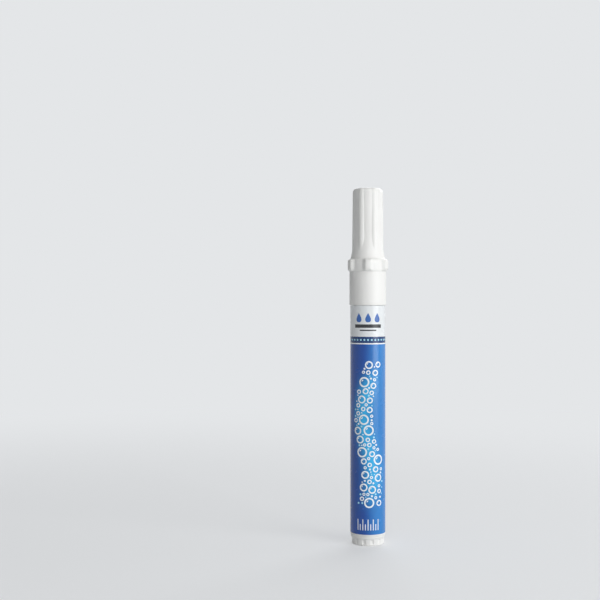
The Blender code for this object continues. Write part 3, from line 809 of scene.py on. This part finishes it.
band_share = np.arange(1, BAND_DOTS + 1) / (BAND_DOTS + 1) - 0.5
band_across = band_share * 2 * np.pi * film_radius
band_centres = np.column_stack([band_across, np.full(BAND_DOTS, (BAND_LOW + BAND_TOP) / 2)])
band_outlines = circles(np.full(BAND_DOTS, BAND_DOT_RADIUS), 28)
print_ink("print_band_dots", ink_outlines(band_centres, band_outlines), pale_ink)

# %% Drops of the white head
DROP_HEIGHT = 3.6
DROP_SWELL = 1.55
DROP_TAPER = 1.5
DROP_PITCH = 3.6
DROP_MIDDLE = 86.0


def drop_outline(columns=48):
    """A drop with its point up: height follows the cosine, width the sine times a taper.

    The taper is a power of the sine of half the angle. The drop is 1.4 times its swell wide.
    """
    angle = steps_round(columns)
    across = -DROP_SWELL * np.sin(angle) * np.sin(angle / 2) ** DROP_TAPER
    return np.stack([across, DROP_HEIGHT / 2 * np.cos(angle)], axis=-1)


drop_centres = np.array([(place * DROP_PITCH, DROP_MIDDLE) for place in (-1, 0, 1)])
drop_grids = ink_outlines(drop_centres, np.tile(drop_outline(), (3, 1, 1)))
print_ink("print_drops", drop_grids, blue_ink)

# %% Bar and rule of the white head
# Height, half length and thickness.
BAR = (82.8, 5.4, 1.3)
RULE = (81.2, 3.2, 0.45)

level, half_length, thickness = np.array([BAR, RULE]).T[..., None]
along = np.concatenate([[-1, -0.9999], np.linspace(-0.97, 0.97, 31), [0.9999, 1]])
rule_paths = np.stack(np.broadcast_arrays(half_length * along, level), axis=-1)
rule_widths = np.where(np.abs(along) < 1, thickness, 0)
print_ink("print_rules", ink_strokes(rule_paths, rule_widths), dark_ink)

# %% [markdown]
# ## The end plug
# The plug is a small moulded cup pressed into the barrel. Twelve grooves round its head give
# the assembly machine, and a fingernail, something to hold. Twelve cylinders could be cut out
# with a Boolean, but that leaves thin stray faces along a round edge. From above, each groove
# is part of a circle cut out of the head, so the radius at each angle is simply the smaller
# of the two, and a soft minimum rounds the edge where they meet. The grooves stop short of
# the lower edge and of the flange.


# %% Soft maximum and minimum
def soft_max(first, second, blend):
    """The larger of two arrays, rounded where they cross.

    It is half of their sum plus the root of their squared difference and the squared blend.
    """
    return 0.5 * (first + second + np.sqrt((first - second) ** 2 + blend ** 2))


def soft_min(first, second, blend):
    """The smaller of two arrays, rounded where they cross."""
    return -soft_max(-first, -second, blend)


# %% Forms repeated round the pen
def crowded(marks, steps, repeats):
    """Angles round the pen that crowd where a repeated form turns its corners.

    The marks are angles in degrees from the middle of one repeat to its edge, with so many
    steps between neighbouring marks. The half repeat is mirrored, and then repeated.
    """
    spans = zip(marks[:-1], marks[1:], steps)
    half = np.concatenate([np.linspace(*span, endpoint=False) for span in spans])
    mirrored = 2 * marks[-1] - half[half > 0][::-1]
    whole = np.concatenate([half, [marks[-1]], mirrored])
    turns = np.arange(repeats)[:, None] * 2 * marks[-1]
    return np.radians((whole + turns).ravel())


def from_nearest(angle, count, first=0.0):
    """Angle from the middle of the nearest of so many equal forms round the pen."""
    pitch = 2 * np.pi / count
    return (angle - first + pitch / 2) % pitch - pitch / 2


# %% The grooves from above
HEAD_RADIUS = 6.05
GROOVE_COUNT = 12
GROOVE_WIDTH = 1.4
GROOVE_DEPTH = 0.4


def groove_plan(angle):
    """Radius of the near side of the circle that cuts a groove.

    The circle's own radius is the square of half the groove's width plus the square of its
    depth, over twice the depth. Its near side is where a line out from the axis first meets it.
    """
    aside = from_nearest(angle, GROOVE_COUNT, first=np.pi / GROOVE_COUNT)
    cutter = (GROOVE_WIDTH ** 2 / 4 + GROOVE_DEPTH ** 2) / (2 * GROOVE_DEPTH)
    cutter_middle = HEAD_RADIUS - GROOVE_DEPTH + cutter
    near_side = cutter ** 2 - (cutter_middle * np.sin(aside)) ** 2
    return cutter_middle * np.cos(aside) - np.sqrt(np.clip(near_side, 0, None))


# %% The plug's profile
plug_low, plug_high, flange_radius = extent("end_plug")
HEAD_HEIGHT = 2.75
FLANGE_TOP = 3.6
PLUG_SKIRT = 5.43
PLUG_BORE = 4.53
PLUG_FLOOR = 1.6
GROOVE_LOW = 0.6
GROOVE_TOP = 2.35
GROOVE_END = 0.3
GATE_RADIUS = 0.9
GATE_DEPTH = 0.12

upper_end = GROOVE_TOP - GROOVE_END
lower_end = GROOVE_LOW + GROOVE_END
upper_rows = (GROOVE_TOP, GROOVE_TOP - GROOVE_END / 2, upper_end)
lower_rows = (lower_end, GROOVE_LOW + GROOVE_END / 2)
plug_corners = [
    (0.0, PLUG_FLOOR, 0),
    (PLUG_BORE, PLUG_FLOOR, 0.4),
    (PLUG_BORE, plug_high, 0.2),
    (PLUG_SKIRT, plug_high, 0.25),
    (PLUG_SKIRT, FLANGE_TOP, 0.1),
    (flange_radius, FLANGE_TOP, 0.12),
    (flange_radius, HEAD_HEIGHT, 0.22),
    (HEAD_RADIUS, HEAD_HEIGHT, 0.08),
    *((HEAD_RADIUS, height, 0) for height in upper_rows + lower_rows),
    (HEAD_RADIUS, plug_low, 0.4),
    (GATE_RADIUS, plug_low, 0.1),
    (GATE_RADIUS - GATE_DEPTH, plug_low + GATE_DEPTH, 0.1),
    (0.0, plug_low + GATE_DEPTH, 0),
]
print(f"The plug's profile has {len(plug_corners)} corners")

# %% End plug
GROOVE_EDGE = 0.04
HEAD_EDGE = 0.1
CLEAR_RISE = 1.3


def plug_points():
    """The plug's grid: a turned profile whose head is cut by twelve round grooves.

    A groove's ends rise out of the head on a quarter ellipse.
    """
    radius, height = rounded(plug_corners, ring=False)[..., None]
    angle = crowded((0, 5, 8.5, 15), (4, 6, 4), GROOVE_COUNT)
    past_end = np.maximum(lower_end - height, height - upper_end) / GROOVE_END
    rising = 1 - np.sqrt(1 - np.clip(past_end, 0, 1) ** 2)
    floor = groove_plan(angle) + CLEAR_RISE * GROOVE_DEPTH * rising
    cut = np.minimum(soft_min(radius, floor, GROOVE_EDGE), radius)
    in_head = (height < HEAD_HEIGHT - HEAD_EDGE) & (radius > PLUG_SKIRT)
    return wrap(np.where(in_head, cut, radius), angle, height)


piece(
    "end_plug_shell", plug_points(), white_plastic,
    "pen_body", stands_for=["end_plug"],
)

# %% [markdown]
# ## The nose
# Under the cap, the nose is pressed into the neck. A narrow ledge shows above the neck, then
# a hollow cone sweeps in to the tip that guides the nib. A spline drawn by eye could make the
# sweep. It is an arc of a circle that stands upright at the tip, because the two then meet
# without a crease, and the flare of the cap can use the same formula.

# %% Nose
nose_low, nose_top, nose_radius = extent("nose")
NOSE_SEAT = neck_top + SEAT_GAP
LEDGE_TOP = NOSE_SEAT + 1.7
CONE_END = LEDGE_TOP + 0.35
TIP_FOOT = nose_top - 6.5
NOSE_TIP = 3.15
NOSE_BORE = 2.5
CONE_FOOT = 4.9
NOSE_PLUG = 4.45
CHAMBER = 3.40


def hollow(height, top, top_radius, foot, foot_radius):
    """Radius on an arc that is upright at its top and sweeps outwards down to its foot.

    The arc's own radius is the squared drop plus the squared spread, over twice the spread.
    """
    drop = top - foot
    spread = foot_radius - top_radius
    sweep = (drop ** 2 + spread ** 2) / (2 * spread)
    return top_radius + sweep - np.sqrt(sweep ** 2 - (top - height) ** 2)


nose_foot = neck_top + CLOSED_GAP
cone_heights = np.linspace(TIP_FOOT, CONE_END, 15)
cone_radii = hollow(cone_heights, TIP_FOOT, NOSE_TIP, LEDGE_TOP, CONE_FOOT)
nose_corners = [
    (NOSE_BORE, nose_top, 0.12),
    (NOSE_TIP, nose_top, 0.32),
    *((radius, height, 0) for radius, height in zip(cone_radii, cone_heights)),
    (CONE_FOOT, LEDGE_TOP, 0.2),
    (nose_radius, LEDGE_TOP, 0.25),
    (nose_radius, nose_foot, 0.12),
    (NOSE_PLUG, nose_foot, 0.1),
    (NOSE_PLUG, nose_low, 0.35),
    (CHAMBER, nose_low, 0.12),
    (CHAMBER, NOSE_SEAT, 0.12),
    (NOSE_BORE, NOSE_SEAT, 0.1),
]
piece(
    "nose_shell", turn(nose_corners, ring=True, columns=128), white_plastic,
    "pen_body", ring=True, stands_for=["nose"],
)

# %% [markdown]
# ## The nib
# The nib is ground from a rod of bonded fibres, so its side has fine grooves that run along
# it. A bump in the finish would leave the outline smooth, so they are in the mesh. They are a
# sum of ripples round the rod, each with its own count, phase and slight drift, which fade
# towards the rounded point.

# %% Nib
nib_low, nib_high, nib_radius = extent("nib")
NIB_POINT = 4.5
NIB_CHAMFER = 0.36
RIPPLE_COUNTS = np.array([9, 13, 17, 22, 27, 31])
RIPPLE_HEIGHT = 0.012
RIPPLE_DRIFT = 0.5
RIPPLE_ROOM = 0.02


def nib_points(columns=144):
    """The nib's grid: an ellipse-shaped point on a straight rod, rippled by its fibres.

    On the point the radius follows the sine of a lean and the height its cosine. A ripple is
    the sine of the angle times its count.
    """
    lean = np.linspace(0, np.pi / 2, 22)
    shoulder = nib_high - NIB_POINT
    rod = np.linspace(shoulder, nib_low + NIB_CHAMFER, 30)[1:]
    rear = [nib_radius - NIB_CHAMFER, 0]
    radius = np.concatenate([nib_radius * np.sin(lean), np.full(len(rod), nib_radius), rear])[:, None]
    height = np.concatenate([shoulder + NIB_POINT * np.cos(lean), rod, [nib_low, nib_low]])[:, None]
    angle = steps_round(columns)
    phase = chance.random(len(RIPPLE_COUNTS)) * 2 * np.pi
    drift = (chance.random(len(RIPPLE_COUNTS)) - 0.5) * RIPPLE_DRIFT
    waves = np.sin(RIPPLE_COUNTS * angle[:, None] + phase + drift * height[..., None])
    ripple = RIPPLE_HEIGHT * waves.sum(axis=-1) / np.sqrt(len(RIPPLE_COUNTS))
    fibrous = radius - RIPPLE_ROOM * (radius > 0) + ripple * radius / nib_radius
    return wrap(fibrous, angle, height)


piece("felt_nib", nib_points(), nib_felt, "nib_unit", stands_for=["nib"])

# %% [markdown]
# ## The valve
# Behind the nib sits a valve: the nib pushes a pin, the pin's head compresses a spring, and
# the seal on the head opens the hole in the seat. These pieces are hidden in the finished
# pen, but they are turned with the same care, because the parts library keeps each of them.
# The cage with its windows keeps its solid and gets the milky finish.

# %% Seat and seal
SEAT_HOLE = 1.3


def flat_ring(node, roundings):
    """A flat ring round the pin. The roundings go from the hole's upper edge outwards and down."""
    low, high, radius = extent(node)
    places = ((SEAT_HOLE, high), (radius, high), (radius, low), (SEAT_HOLE, low))
    corners = [(*place, rounding) for place, rounding in zip(places, roundings)]
    return turn(corners, ring=True, columns=96)


piece(
    "valve_seat_ring", flat_ring("valve_seat", (0.3, 0.12, 0.12, 0.08)), clear_plastic,
    "pen_body", ring=True, stands_for=["valve_seat"],
)
piece(
    "valve_seal_washer", flat_ring("valve_seal", (0.06, 0.1, 0.1, 0.06)), seal_rubber,
    "nib_unit", ring=True, stands_for=["valve_seal"],
)

# %% Stem and cage
stem_low, stem_high, head_radius = extent("valve_stem")
PIN = 1.0
TAIL = 0.8
HEAD_TOP = extent("valve_seal")[0] - SEAT_GAP
HEAD_LOW = HEAD_TOP - 1.2

stem_corners = [
    (0.0, stem_high, 0),
    (PIN, stem_high, 0.22),
    (PIN, HEAD_TOP, 0.1),
    (head_radius, HEAD_TOP, 0.12),
    (head_radius, HEAD_LOW, 0.12),
    (TAIL, HEAD_LOW, 0.1),
    (TAIL, stem_low, 0.22),
    (0.0, stem_low, 0),
]
piece(
    "valve_stem_pin", turn(stem_corners, columns=96), clear_plastic,
    "nib_unit", stands_for=["valve_stem"],
)
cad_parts["valve_cage"].data.materials.clear()
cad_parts["valve_cage"].data.materials.append(clear_plastic)
print("The valve's cage keeps its solid")

# %% [markdown]
# ### The spring
# The wire follows a helix whose pitch is small in the closing turn at each end. At each
# point the round section is laid out on two directions square to the wire: one points away
# from the axis, and the other is square to that and to the wire. Nearing an end, the section
# shrinks to a point and closes it. A curve with a round bevel could make the coil too, but the
# grid gives it the same map as every other piece, and the steel's streaks follow that. The
# coil then gets a copy of its mesh of its own.

# %% Spring
spring_low, spring_high, spring_radius = extent("valve_spring")
WIRE = 0.2
TURNS = 6
END_PITCH = 0.85
END_TAPER = 0.75


def spring_points(per_turn=40, section=14):
    """The wire's grid: circles carried along a helix with a closing turn at each end."""
    turns = np.linspace(0, TURNS, per_turn * TURNS + 1)
    rise = spring_high - spring_low - 2 * WIRE
    climbs = [0, END_PITCH, rise - END_PITCH, rise]
    height = spring_low + WIRE + np.interp(turns, [0, 1, TURNS - 1, TURNS], climbs)
    middle = wrap(spring_radius - WIRE, 2 * np.pi * turns, height)
    ahead = np.gradient(middle, axis=0)
    ahead = ahead / np.linalg.norm(ahead, axis=1, keepdims=True)
    outward = wrap(1.0, 2 * np.pi * turns, 0.0)
    upward = np.cross(ahead, outward)
    thickness = np.full((len(turns), 1, 1), WIRE)
    thickness[[1, -2]] *= END_TAPER
    thickness[[0, -1]] = 0
    angle = steps_round(section)[:, None]
    circle = np.cos(angle) * outward[:, None] - np.sin(angle) * upward[:, None]
    return middle[:, None] + thickness * circle


valve_spring = piece(
    "valve_spring_coil", spring_points(), spring_steel,
    "pen_body", stands_for=["valve_spring"],
)

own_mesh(valve_spring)

# %% [markdown]
# ## The cap's liner
# Inside the cap, a soft inner cap closes round the nose's tip and keeps the nib wet. It shows
# as a milky ring when one looks into the cap. It is a plain cup, open downwards, so a profile
# of six corners is enough.

# %% Liner
liner_low, liner_high, liner_radius = extent("cap_liner")
LINER_BORE = 3.45
LINER_ROOF = liner_high - 0.8

liner_corners = [
    (0.0, liner_high, 0),
    (liner_radius, liner_high, 0.35),
    (liner_radius, liner_low, 0.15),
    (LINER_BORE, liner_low, 0.25),
    (LINER_BORE, LINER_ROOF, 0.3),
    (0.0, LINER_ROOF, 0),
]
piece(
    "cap_liner_cup", turn(liner_corners, columns=128), clear_plastic,
    "cap_unit", stands_for=["cap_liner"],
)

# %% [markdown]
# ## The cap
# The cap is the pen's most worked moulding. Its skirt snaps over the neck, a ring of six
# lugs keeps the pen from rolling away, a hollow flare leads up to the grip, and six round
# ribs rise out of the flare. A Boolean could join a solid for each form, but would leave a
# hard line in every valley. So all of it is one surface: at each height and angle the radius
# is the soft maximum of the forms that meet there, which gives each valley its small fillet.
# The columns crowd where the lugs' flanks and the ribs' feet turn.

# %% The ring of lugs from above
SKIRT_RADIUS = 6.98
RING_FLOOR = 7.30
LUG_COUNT = 6
LUG_REACH = lug_radius + 0.06
LUG_TOP_HALF = np.radians(7.3)
LUG_FOOT_HALF = np.radians(16.3)
PLAN_BLEND = 0.14


def lug_plan(angle):
    """Radius of the ring at an angle: a flat-topped lug with straight flanks on a round floor.

    In polar form a straight flank is its distance from the axis divided by the cosine of the
    angle from its own normal.
    """
    aside = np.abs(from_nearest(angle, LUG_COUNT))
    top = LUG_REACH * np.array([np.cos(LUG_TOP_HALF), np.sin(LUG_TOP_HALF)])
    foot = RING_FLOOR * np.array([np.cos(LUG_FOOT_HALF), np.sin(LUG_FOOT_HALF)])
    normal = np.array([foot[1] - top[1], top[0] - foot[0]])
    normal = normal / np.linalg.norm(normal)
    flank = (top @ normal) / np.cos(aside - np.arctan2(normal[1], normal[0]))
    return soft_min(LUG_REACH, soft_max(RING_FLOOR, flank, PLAN_BLEND), PLAN_BLEND)


# %% The grip with its ribs from above
GRIP_RADIUS = 5.42
RIB_RADIUS = 5.73
RIB_BAR = 1.8
RIB_DRAFT = 0.010
RIB_BLEND = 0.05
CROWN_WIDTH = 1.2
CROWN_DROP = 1.7
CROWN_FOOT = cap_top - CROWN_DROP


def with_ribs(radius, angle, height):
    """A round form with the ribs standing out of it: the soft maximum of the two.

    The ribs are circles that stand between the lugs, and the radius of one is where a line out
    from the axis leaves it. They lean out towards the ring by the draft that lets them leave
    the mould.
    """
    aside = from_nearest(angle, LUG_COUNT, first=np.pi / LUG_COUNT)
    bar_middle = RIB_RADIUS - RIB_BAR + RIB_DRAFT * np.clip(CROWN_FOOT - height, 0, None)
    far_side = RIB_BAR ** 2 - (bar_middle * np.sin(aside)) ** 2
    ribs = bar_middle * np.cos(aside) + np.sqrt(np.clip(far_side, 0, None))
    return soft_max(radius, ribs, RIB_BLEND)


# %% [markdown]
# ### Rows of the cap
# The rows run from the middle of the top out over the rounded crown, down the grip and the
# flare, over the ring, down the skirt, round its lip and up the inside to the roof. As far as
# the skirt, each rounded edge is a quarter of a circle or an ellipse, stepped by how far it
# leans. From there on the rows are a turned profile, as on the other pieces.

# %% Rows from the cap's top down to its ring
RING_LOW = cap_mouth + 12.9
RING_TOP = RING_LOW + 4.6
FLARE_FOOT = 6.62
FLARE_TOP = RING_TOP + 10.0
FLARE_END = RING_TOP + 0.3
TOP_SHARES = np.array([0, 0.04, 0.1, 0.16, 0.2, 0.24, 0.34, 0.6, 0.85, 0.96])


def quarter(rows):
    """Leans from 0 to 90 degrees, one a row."""
    return np.radians(np.linspace(0, 90, rows))[:, None]


def grip_rows(angle):
    """Radius and height of the flat top, the rounded crown, the grip and the flare.

    The mark of the mould's gate in the middle of the top is a shallow, flat-topped bell.
    """
    side = with_ribs(GRIP_RADIUS, angle, cap_top)
    top = (side - CROWN_WIDTH) * TOP_SHARES[:, None]
    lean = quarter(14)[::-1]
    grip = np.linspace(CROWN_FOOT, FLARE_TOP, 10)[1:, None]
    flare = np.linspace(FLARE_TOP, FLARE_END, 34)[1:, None]
    flared = hollow(flare, FLARE_TOP, GRIP_RADIUS, RING_TOP, FLARE_FOOT)
    return [
        (top, cap_top - GATE_DEPTH * np.exp(-(top / GATE_RADIUS) ** 4)),
        (side - CROWN_WIDTH * (1 - np.cos(lean)), CROWN_FOOT + CROWN_DROP * np.sin(lean)),
        (with_ribs(GRIP_RADIUS, angle, grip), grip),
        (with_ribs(flared, angle, flare), flare),
    ]


# %% Rows of the ring
RING_ROUND = 1.1
LUG_INSET = 1.1
TOP_INSET = 0.4
LOW_INSET = 0.15
TOP_FILLET = 0.25
LOW_FILLET = 0.15


def ring_end(plan, floor_inset, lean):
    """Radius of the ring where its end is rounded off: a quarter ellipse at every angle.

    The inset at the end grows from the floor's to the lug's with how far the plan stands out.
    """
    proud = (plan - RING_FLOOR) / (LUG_REACH - RING_FLOOR)
    inset = floor_inset + (LUG_INSET - floor_inset) * proud
    return plan - inset * (1 - np.sin(lean))


def ring_rows(angle):
    """Radius and height of the ring, from the fillet above it to the fillet below."""
    plan = lug_plan(angle)
    bend = quarter(4)
    lean = quarter(11)
    rise = RING_ROUND * (1 - np.cos(lean))
    flank = np.linspace(RING_TOP - RING_ROUND, RING_LOW + RING_ROUND, 6)[1:-1, None]
    fillet = np.array([1 - np.cos(bend), 1 - np.sin(bend)])
    return [
        (FLARE_FOOT + TOP_FILLET * fillet[0], RING_TOP + TOP_FILLET * fillet[1]),
        (ring_end(plan, TOP_INSET, lean), RING_TOP - rise),
        (plan, flank),
        (ring_end(plan, LOW_INSET, lean[::-1]), RING_LOW + rise[::-1]),
        (SKIRT_RADIUS + LOW_FILLET * fillet[0, ::-1], RING_LOW - LOW_FILLET * fillet[1, ::-1]),
    ]


# %% The cap's skirt and inside
CAP_BORE = 4.35
CAP_ROOF = cap_top - 1.4
NOSE_ROOM = 5.4
CAP_SEAT = LEDGE_TOP + SEAT_GAP
SKIRT_BORE = 6.08
SNAP_GROOVE = 6.26
MOUTH_BORE = 6.28

inner_corners = [
    (SKIRT_RADIUS, RING_LOW - LOW_FILLET, 0),
    (SKIRT_RADIUS, cap_mouth, 0.22),
    (MOUTH_BORE, cap_mouth, 0.12),
    (SKIRT_BORE, cap_mouth + 0.4, 0.2),
    (SKIRT_BORE, BEAD_HEIGHT - 2 * BEAD_HALF, 0.3),
    (SNAP_GROOVE, BEAD_HEIGHT - BEAD_HALF, 0.3),
    (SNAP_GROOVE, BEAD_HEIGHT + BEAD_HALF, 0.3),
    (SKIRT_BORE, BEAD_HEIGHT + 2 * BEAD_HALF, 0.3),
    (SKIRT_BORE, CAP_SEAT, 0.15),
    (NOSE_ROOM, CAP_SEAT, 0.15),
    (NOSE_ROOM, RING_TOP, 0.8),
    (CAP_BORE, FLARE_TOP, 0.8),
    (CAP_BORE, CAP_ROOF, 0.4),
    (0.0, CAP_ROOF, 0),
]
print(f"The cap's skirt and inside have {len(inner_corners)} corners")

# %% Cap
cap_angle = crowded((0, 5, 9, 14.5, 20.5, 30), (3, 8, 4, 12, 6), LUG_COUNT)
inner_rows = rounded(inner_corners, ring=False)[:, 1:, None]
cap_rows = [*grip_rows(cap_angle), *ring_rows(cap_angle), inner_rows]
cap_grid = np.concatenate([wrap(radius, cap_angle, height) for radius, height in cap_rows])
piece("cap_shell", cap_grid, white_plastic, "cap_unit", stands_for=["cap"])

# %% [markdown]
# ## Floor and backdrop
# A studio table runs up into its backdrop in one sweep. Two planes would meet in a line that
# shows behind the pen, so the profile goes along the floor, round a quarter circle and up.
# Near the pen, half of what the camera sees of it is real shade, which keeps the pen's
# shadow. Further off it turns to an even pale light, so that the pools of the lamps don't
# show.

# %% Paper
SHADE_NEAR = 100.0
SHADE_FAR = 520.0
LEAST_PLAIN = 0.5
PAPER_FIBRE = 1.2
STUDIO_PALE = "#E4E6E8"


def seen_share(material):
    """1 where the camera, a mirror or clear plastic looks at a surface, 0 where it gives light."""
    rays = add(material, "LightPath", {})
    share = rays["Is Camera Ray"]
    for kind in ("Is Glossy Ray", "Is Transmission Ray"):
        share = add(material, "Math", {0: share, 1: rays[kind]}, operation="MAXIMUM")[0]
    return share


paper = grain_finish(
    "backdrop_paper", PAPER_FIBRE, 3.0, ("#E6E8EA", "#EBEDEF"), None,
    Roughness=0.9, Specular_IOR_Level=0.1,
)
place = add(paper, "TexCoord", {})["Object"]
away = add(paper, "VectorMath", {0: place}, operation="LENGTH")["Value"]
ends = {"Value": away, "From Min": SHADE_NEAR * MM, "From Max": SHADE_FAR * MM, "To Min": LEAST_PLAIN}
evened = add(paper, "MapRange", ends, interpolation_type="SMOOTHSTEP")[0]
share = add(paper, "Math", {0: seen_share(paper), 1: evened}, operation="MULTIPLY")[0]
shaded = paper.node_tree.nodes["Principled BSDF"].outputs[0]
plain = add(paper, "Emission", {"Color": linear(STUDIO_PALE), "Strength": 1.0})[0]
mixed = add(paper, "MixShader", {0: share, 1: shaded, 2: plain})[0]
paper.node_tree.links.new(mixed, paper.node_tree.nodes["Material Output"].inputs["Surface"])
print(f"The paper turns plain from {SHADE_NEAR:.0f} to {SHADE_FAR:.0f} mm from the pen")

# %% Sweep
FLOOR_FRONT = -1500.0
FLOOR_BACK = 700.0
SWEEP_RADIUS = 600.0
BACKDROP_TOP = 2500.0
BACKDROP_HALF = 2500.0

lean = np.linspace(0, np.pi / 2, 25)
wall = FLOOR_BACK + SWEEP_RADIUS
depth = np.concatenate([[FLOOR_FRONT], FLOOR_BACK + SWEEP_RADIUS * np.sin(lean), [wall]])
height = np.concatenate([[0], SWEEP_RADIUS * (1 - np.cos(lean)), [BACKDROP_TOP]])
across = np.array([-BACKDROP_HALF, BACKDROP_HALF])
sweep_grid = np.stack(np.broadcast_arrays(across, depth[:, None], height[:, None]), axis=-1)
first = 2 * np.arange(len(depth) - 1)
sweep_faces = np.stack([first, first + 1, first + 3, first + 2], axis=-1)
sweep_mesh = bpy.data.meshes.new("studio_sweep")
sweep_mesh.from_pydata((sweep_grid.reshape(-1, 3) * MM).tolist(), [], sweep_faces.tolist())
sweep_mesh.shade_smooth()
sweep_mesh.materials.append(paper)
into_scene("studio_sweep", sweep_mesh)
print(f"Backdrop with {len(sweep_faces)} faces")

# %% [markdown]
# ## Light
# A tall softbox stands to the front right. It gives the long soft highlight up the barrel and
# lets the shade fall away to the left. A larger one high in front draws the shade out softly,
# and a weak one keeps the right side bright. One high at the rear right lights the back, for
# the views from there. An even, dim world fills the dark side. Together they show a colour
# about as it is written. The world looks pale where it is seen or mirrored, like the paper.
# Each lamp is a row of a table: how many degrees it stands right of the front, its distance,
# width, length and height in millimetres, its tilt down towards the pen, and its power.

# %% Lamps
SOFTBOXES = (
    ("main_softbox", 52, 620, 420, 600, 305, 0, 2.85),
    ("side_fill", 105, 700, 400, 600, 305, 0, 0.3),
    ("broad_fill", 10, 900, 600, 1200, 720, 35, 3.2),
    ("back_fill", 165, 800, 700, 700, 600, 30, 5.0),
)

for name, turned, distance, width, tall, height, tilt, power in SOFTBOXES:
    light = bpy.data.lights.new(name, "AREA")
    light.shape = "RECTANGLE"
    light.size = width * MM
    light.size_y = tall * MM
    light.energy = power
    lamp = into_scene(name, light)
    angle = np.radians(turned)
    lamp.location = wrap(distance, angle, height) * MM
    lamp.rotation_euler = (np.radians(90 - tilt), 0, angle)
    print(f"{name}: {width} x {tall} mm, {distance} mm away, {power} W")

# %% World
WORLD_LIGHT = 0.17

world = bpy.data.worlds.new("studio")
world.use_nodes = True
even = world.node_tree.nodes["Background"]
even.inputs["Color"].default_value = linear("#FFFFFF")
even.inputs["Strength"].default_value = WORLD_LIGHT
pale = add(world, "Background", {"Color": linear(STUDIO_PALE), "Strength": 1.0})[0]
mixed = add(world, "MixShader", {0: seen_share(world), 1: even.outputs[0], 2: pale})[0]
world.node_tree.links.new(mixed, world.node_tree.nodes["World Output"].inputs["Surface"])
bpy.context.scene.world = world
print(f"World {WORLD_LIGHT}")

# %% [markdown]
# ## Camera
# The photograph was taken level with the pen's upper part, a little to the left of its
# front, and the pen stands right of the picture's middle. The lens follows from how many
# millimetres one pixel covers at the pen: the picture's width at that distance, set against
# the sensor's width.

# %% Camera
PICTURE = 600
PIXEL_SIZE = 0.3814
PEN_COLUMN = 367.8
EYE_HEIGHT = 92.6
CAMERA_DEPTH = 409.6
CAMERA_SIDE = np.radians(-0.9)
SENSOR = 36.0

aside = (PEN_COLUMN - PICTURE / 2) * PIXEL_SIZE
camera_distance = np.hypot(aside, CAMERA_DEPTH)
lens = bpy.data.cameras.new("photograph")
lens.sensor_width = SENSOR
lens.lens = SENSOR * CAMERA_DEPTH / (PICTURE * PIXEL_SIZE)
lens.clip_start = 10 * MM
camera = into_scene("photograph", lens)
camera.location = wrap(camera_distance, CAMERA_SIDE, EYE_HEIGHT) * MM
camera.rotation_euler = (np.radians(90), 0, np.arctan2(aside, CAMERA_DEPTH) + CAMERA_SIDE)
bpy.context.scene.camera = camera
bpy.context.scene.view_settings.view_transform = "Standard"
print(f"Lens {lens.lens:.1f} mm, camera {camera_distance:.0f} mm from the pen")
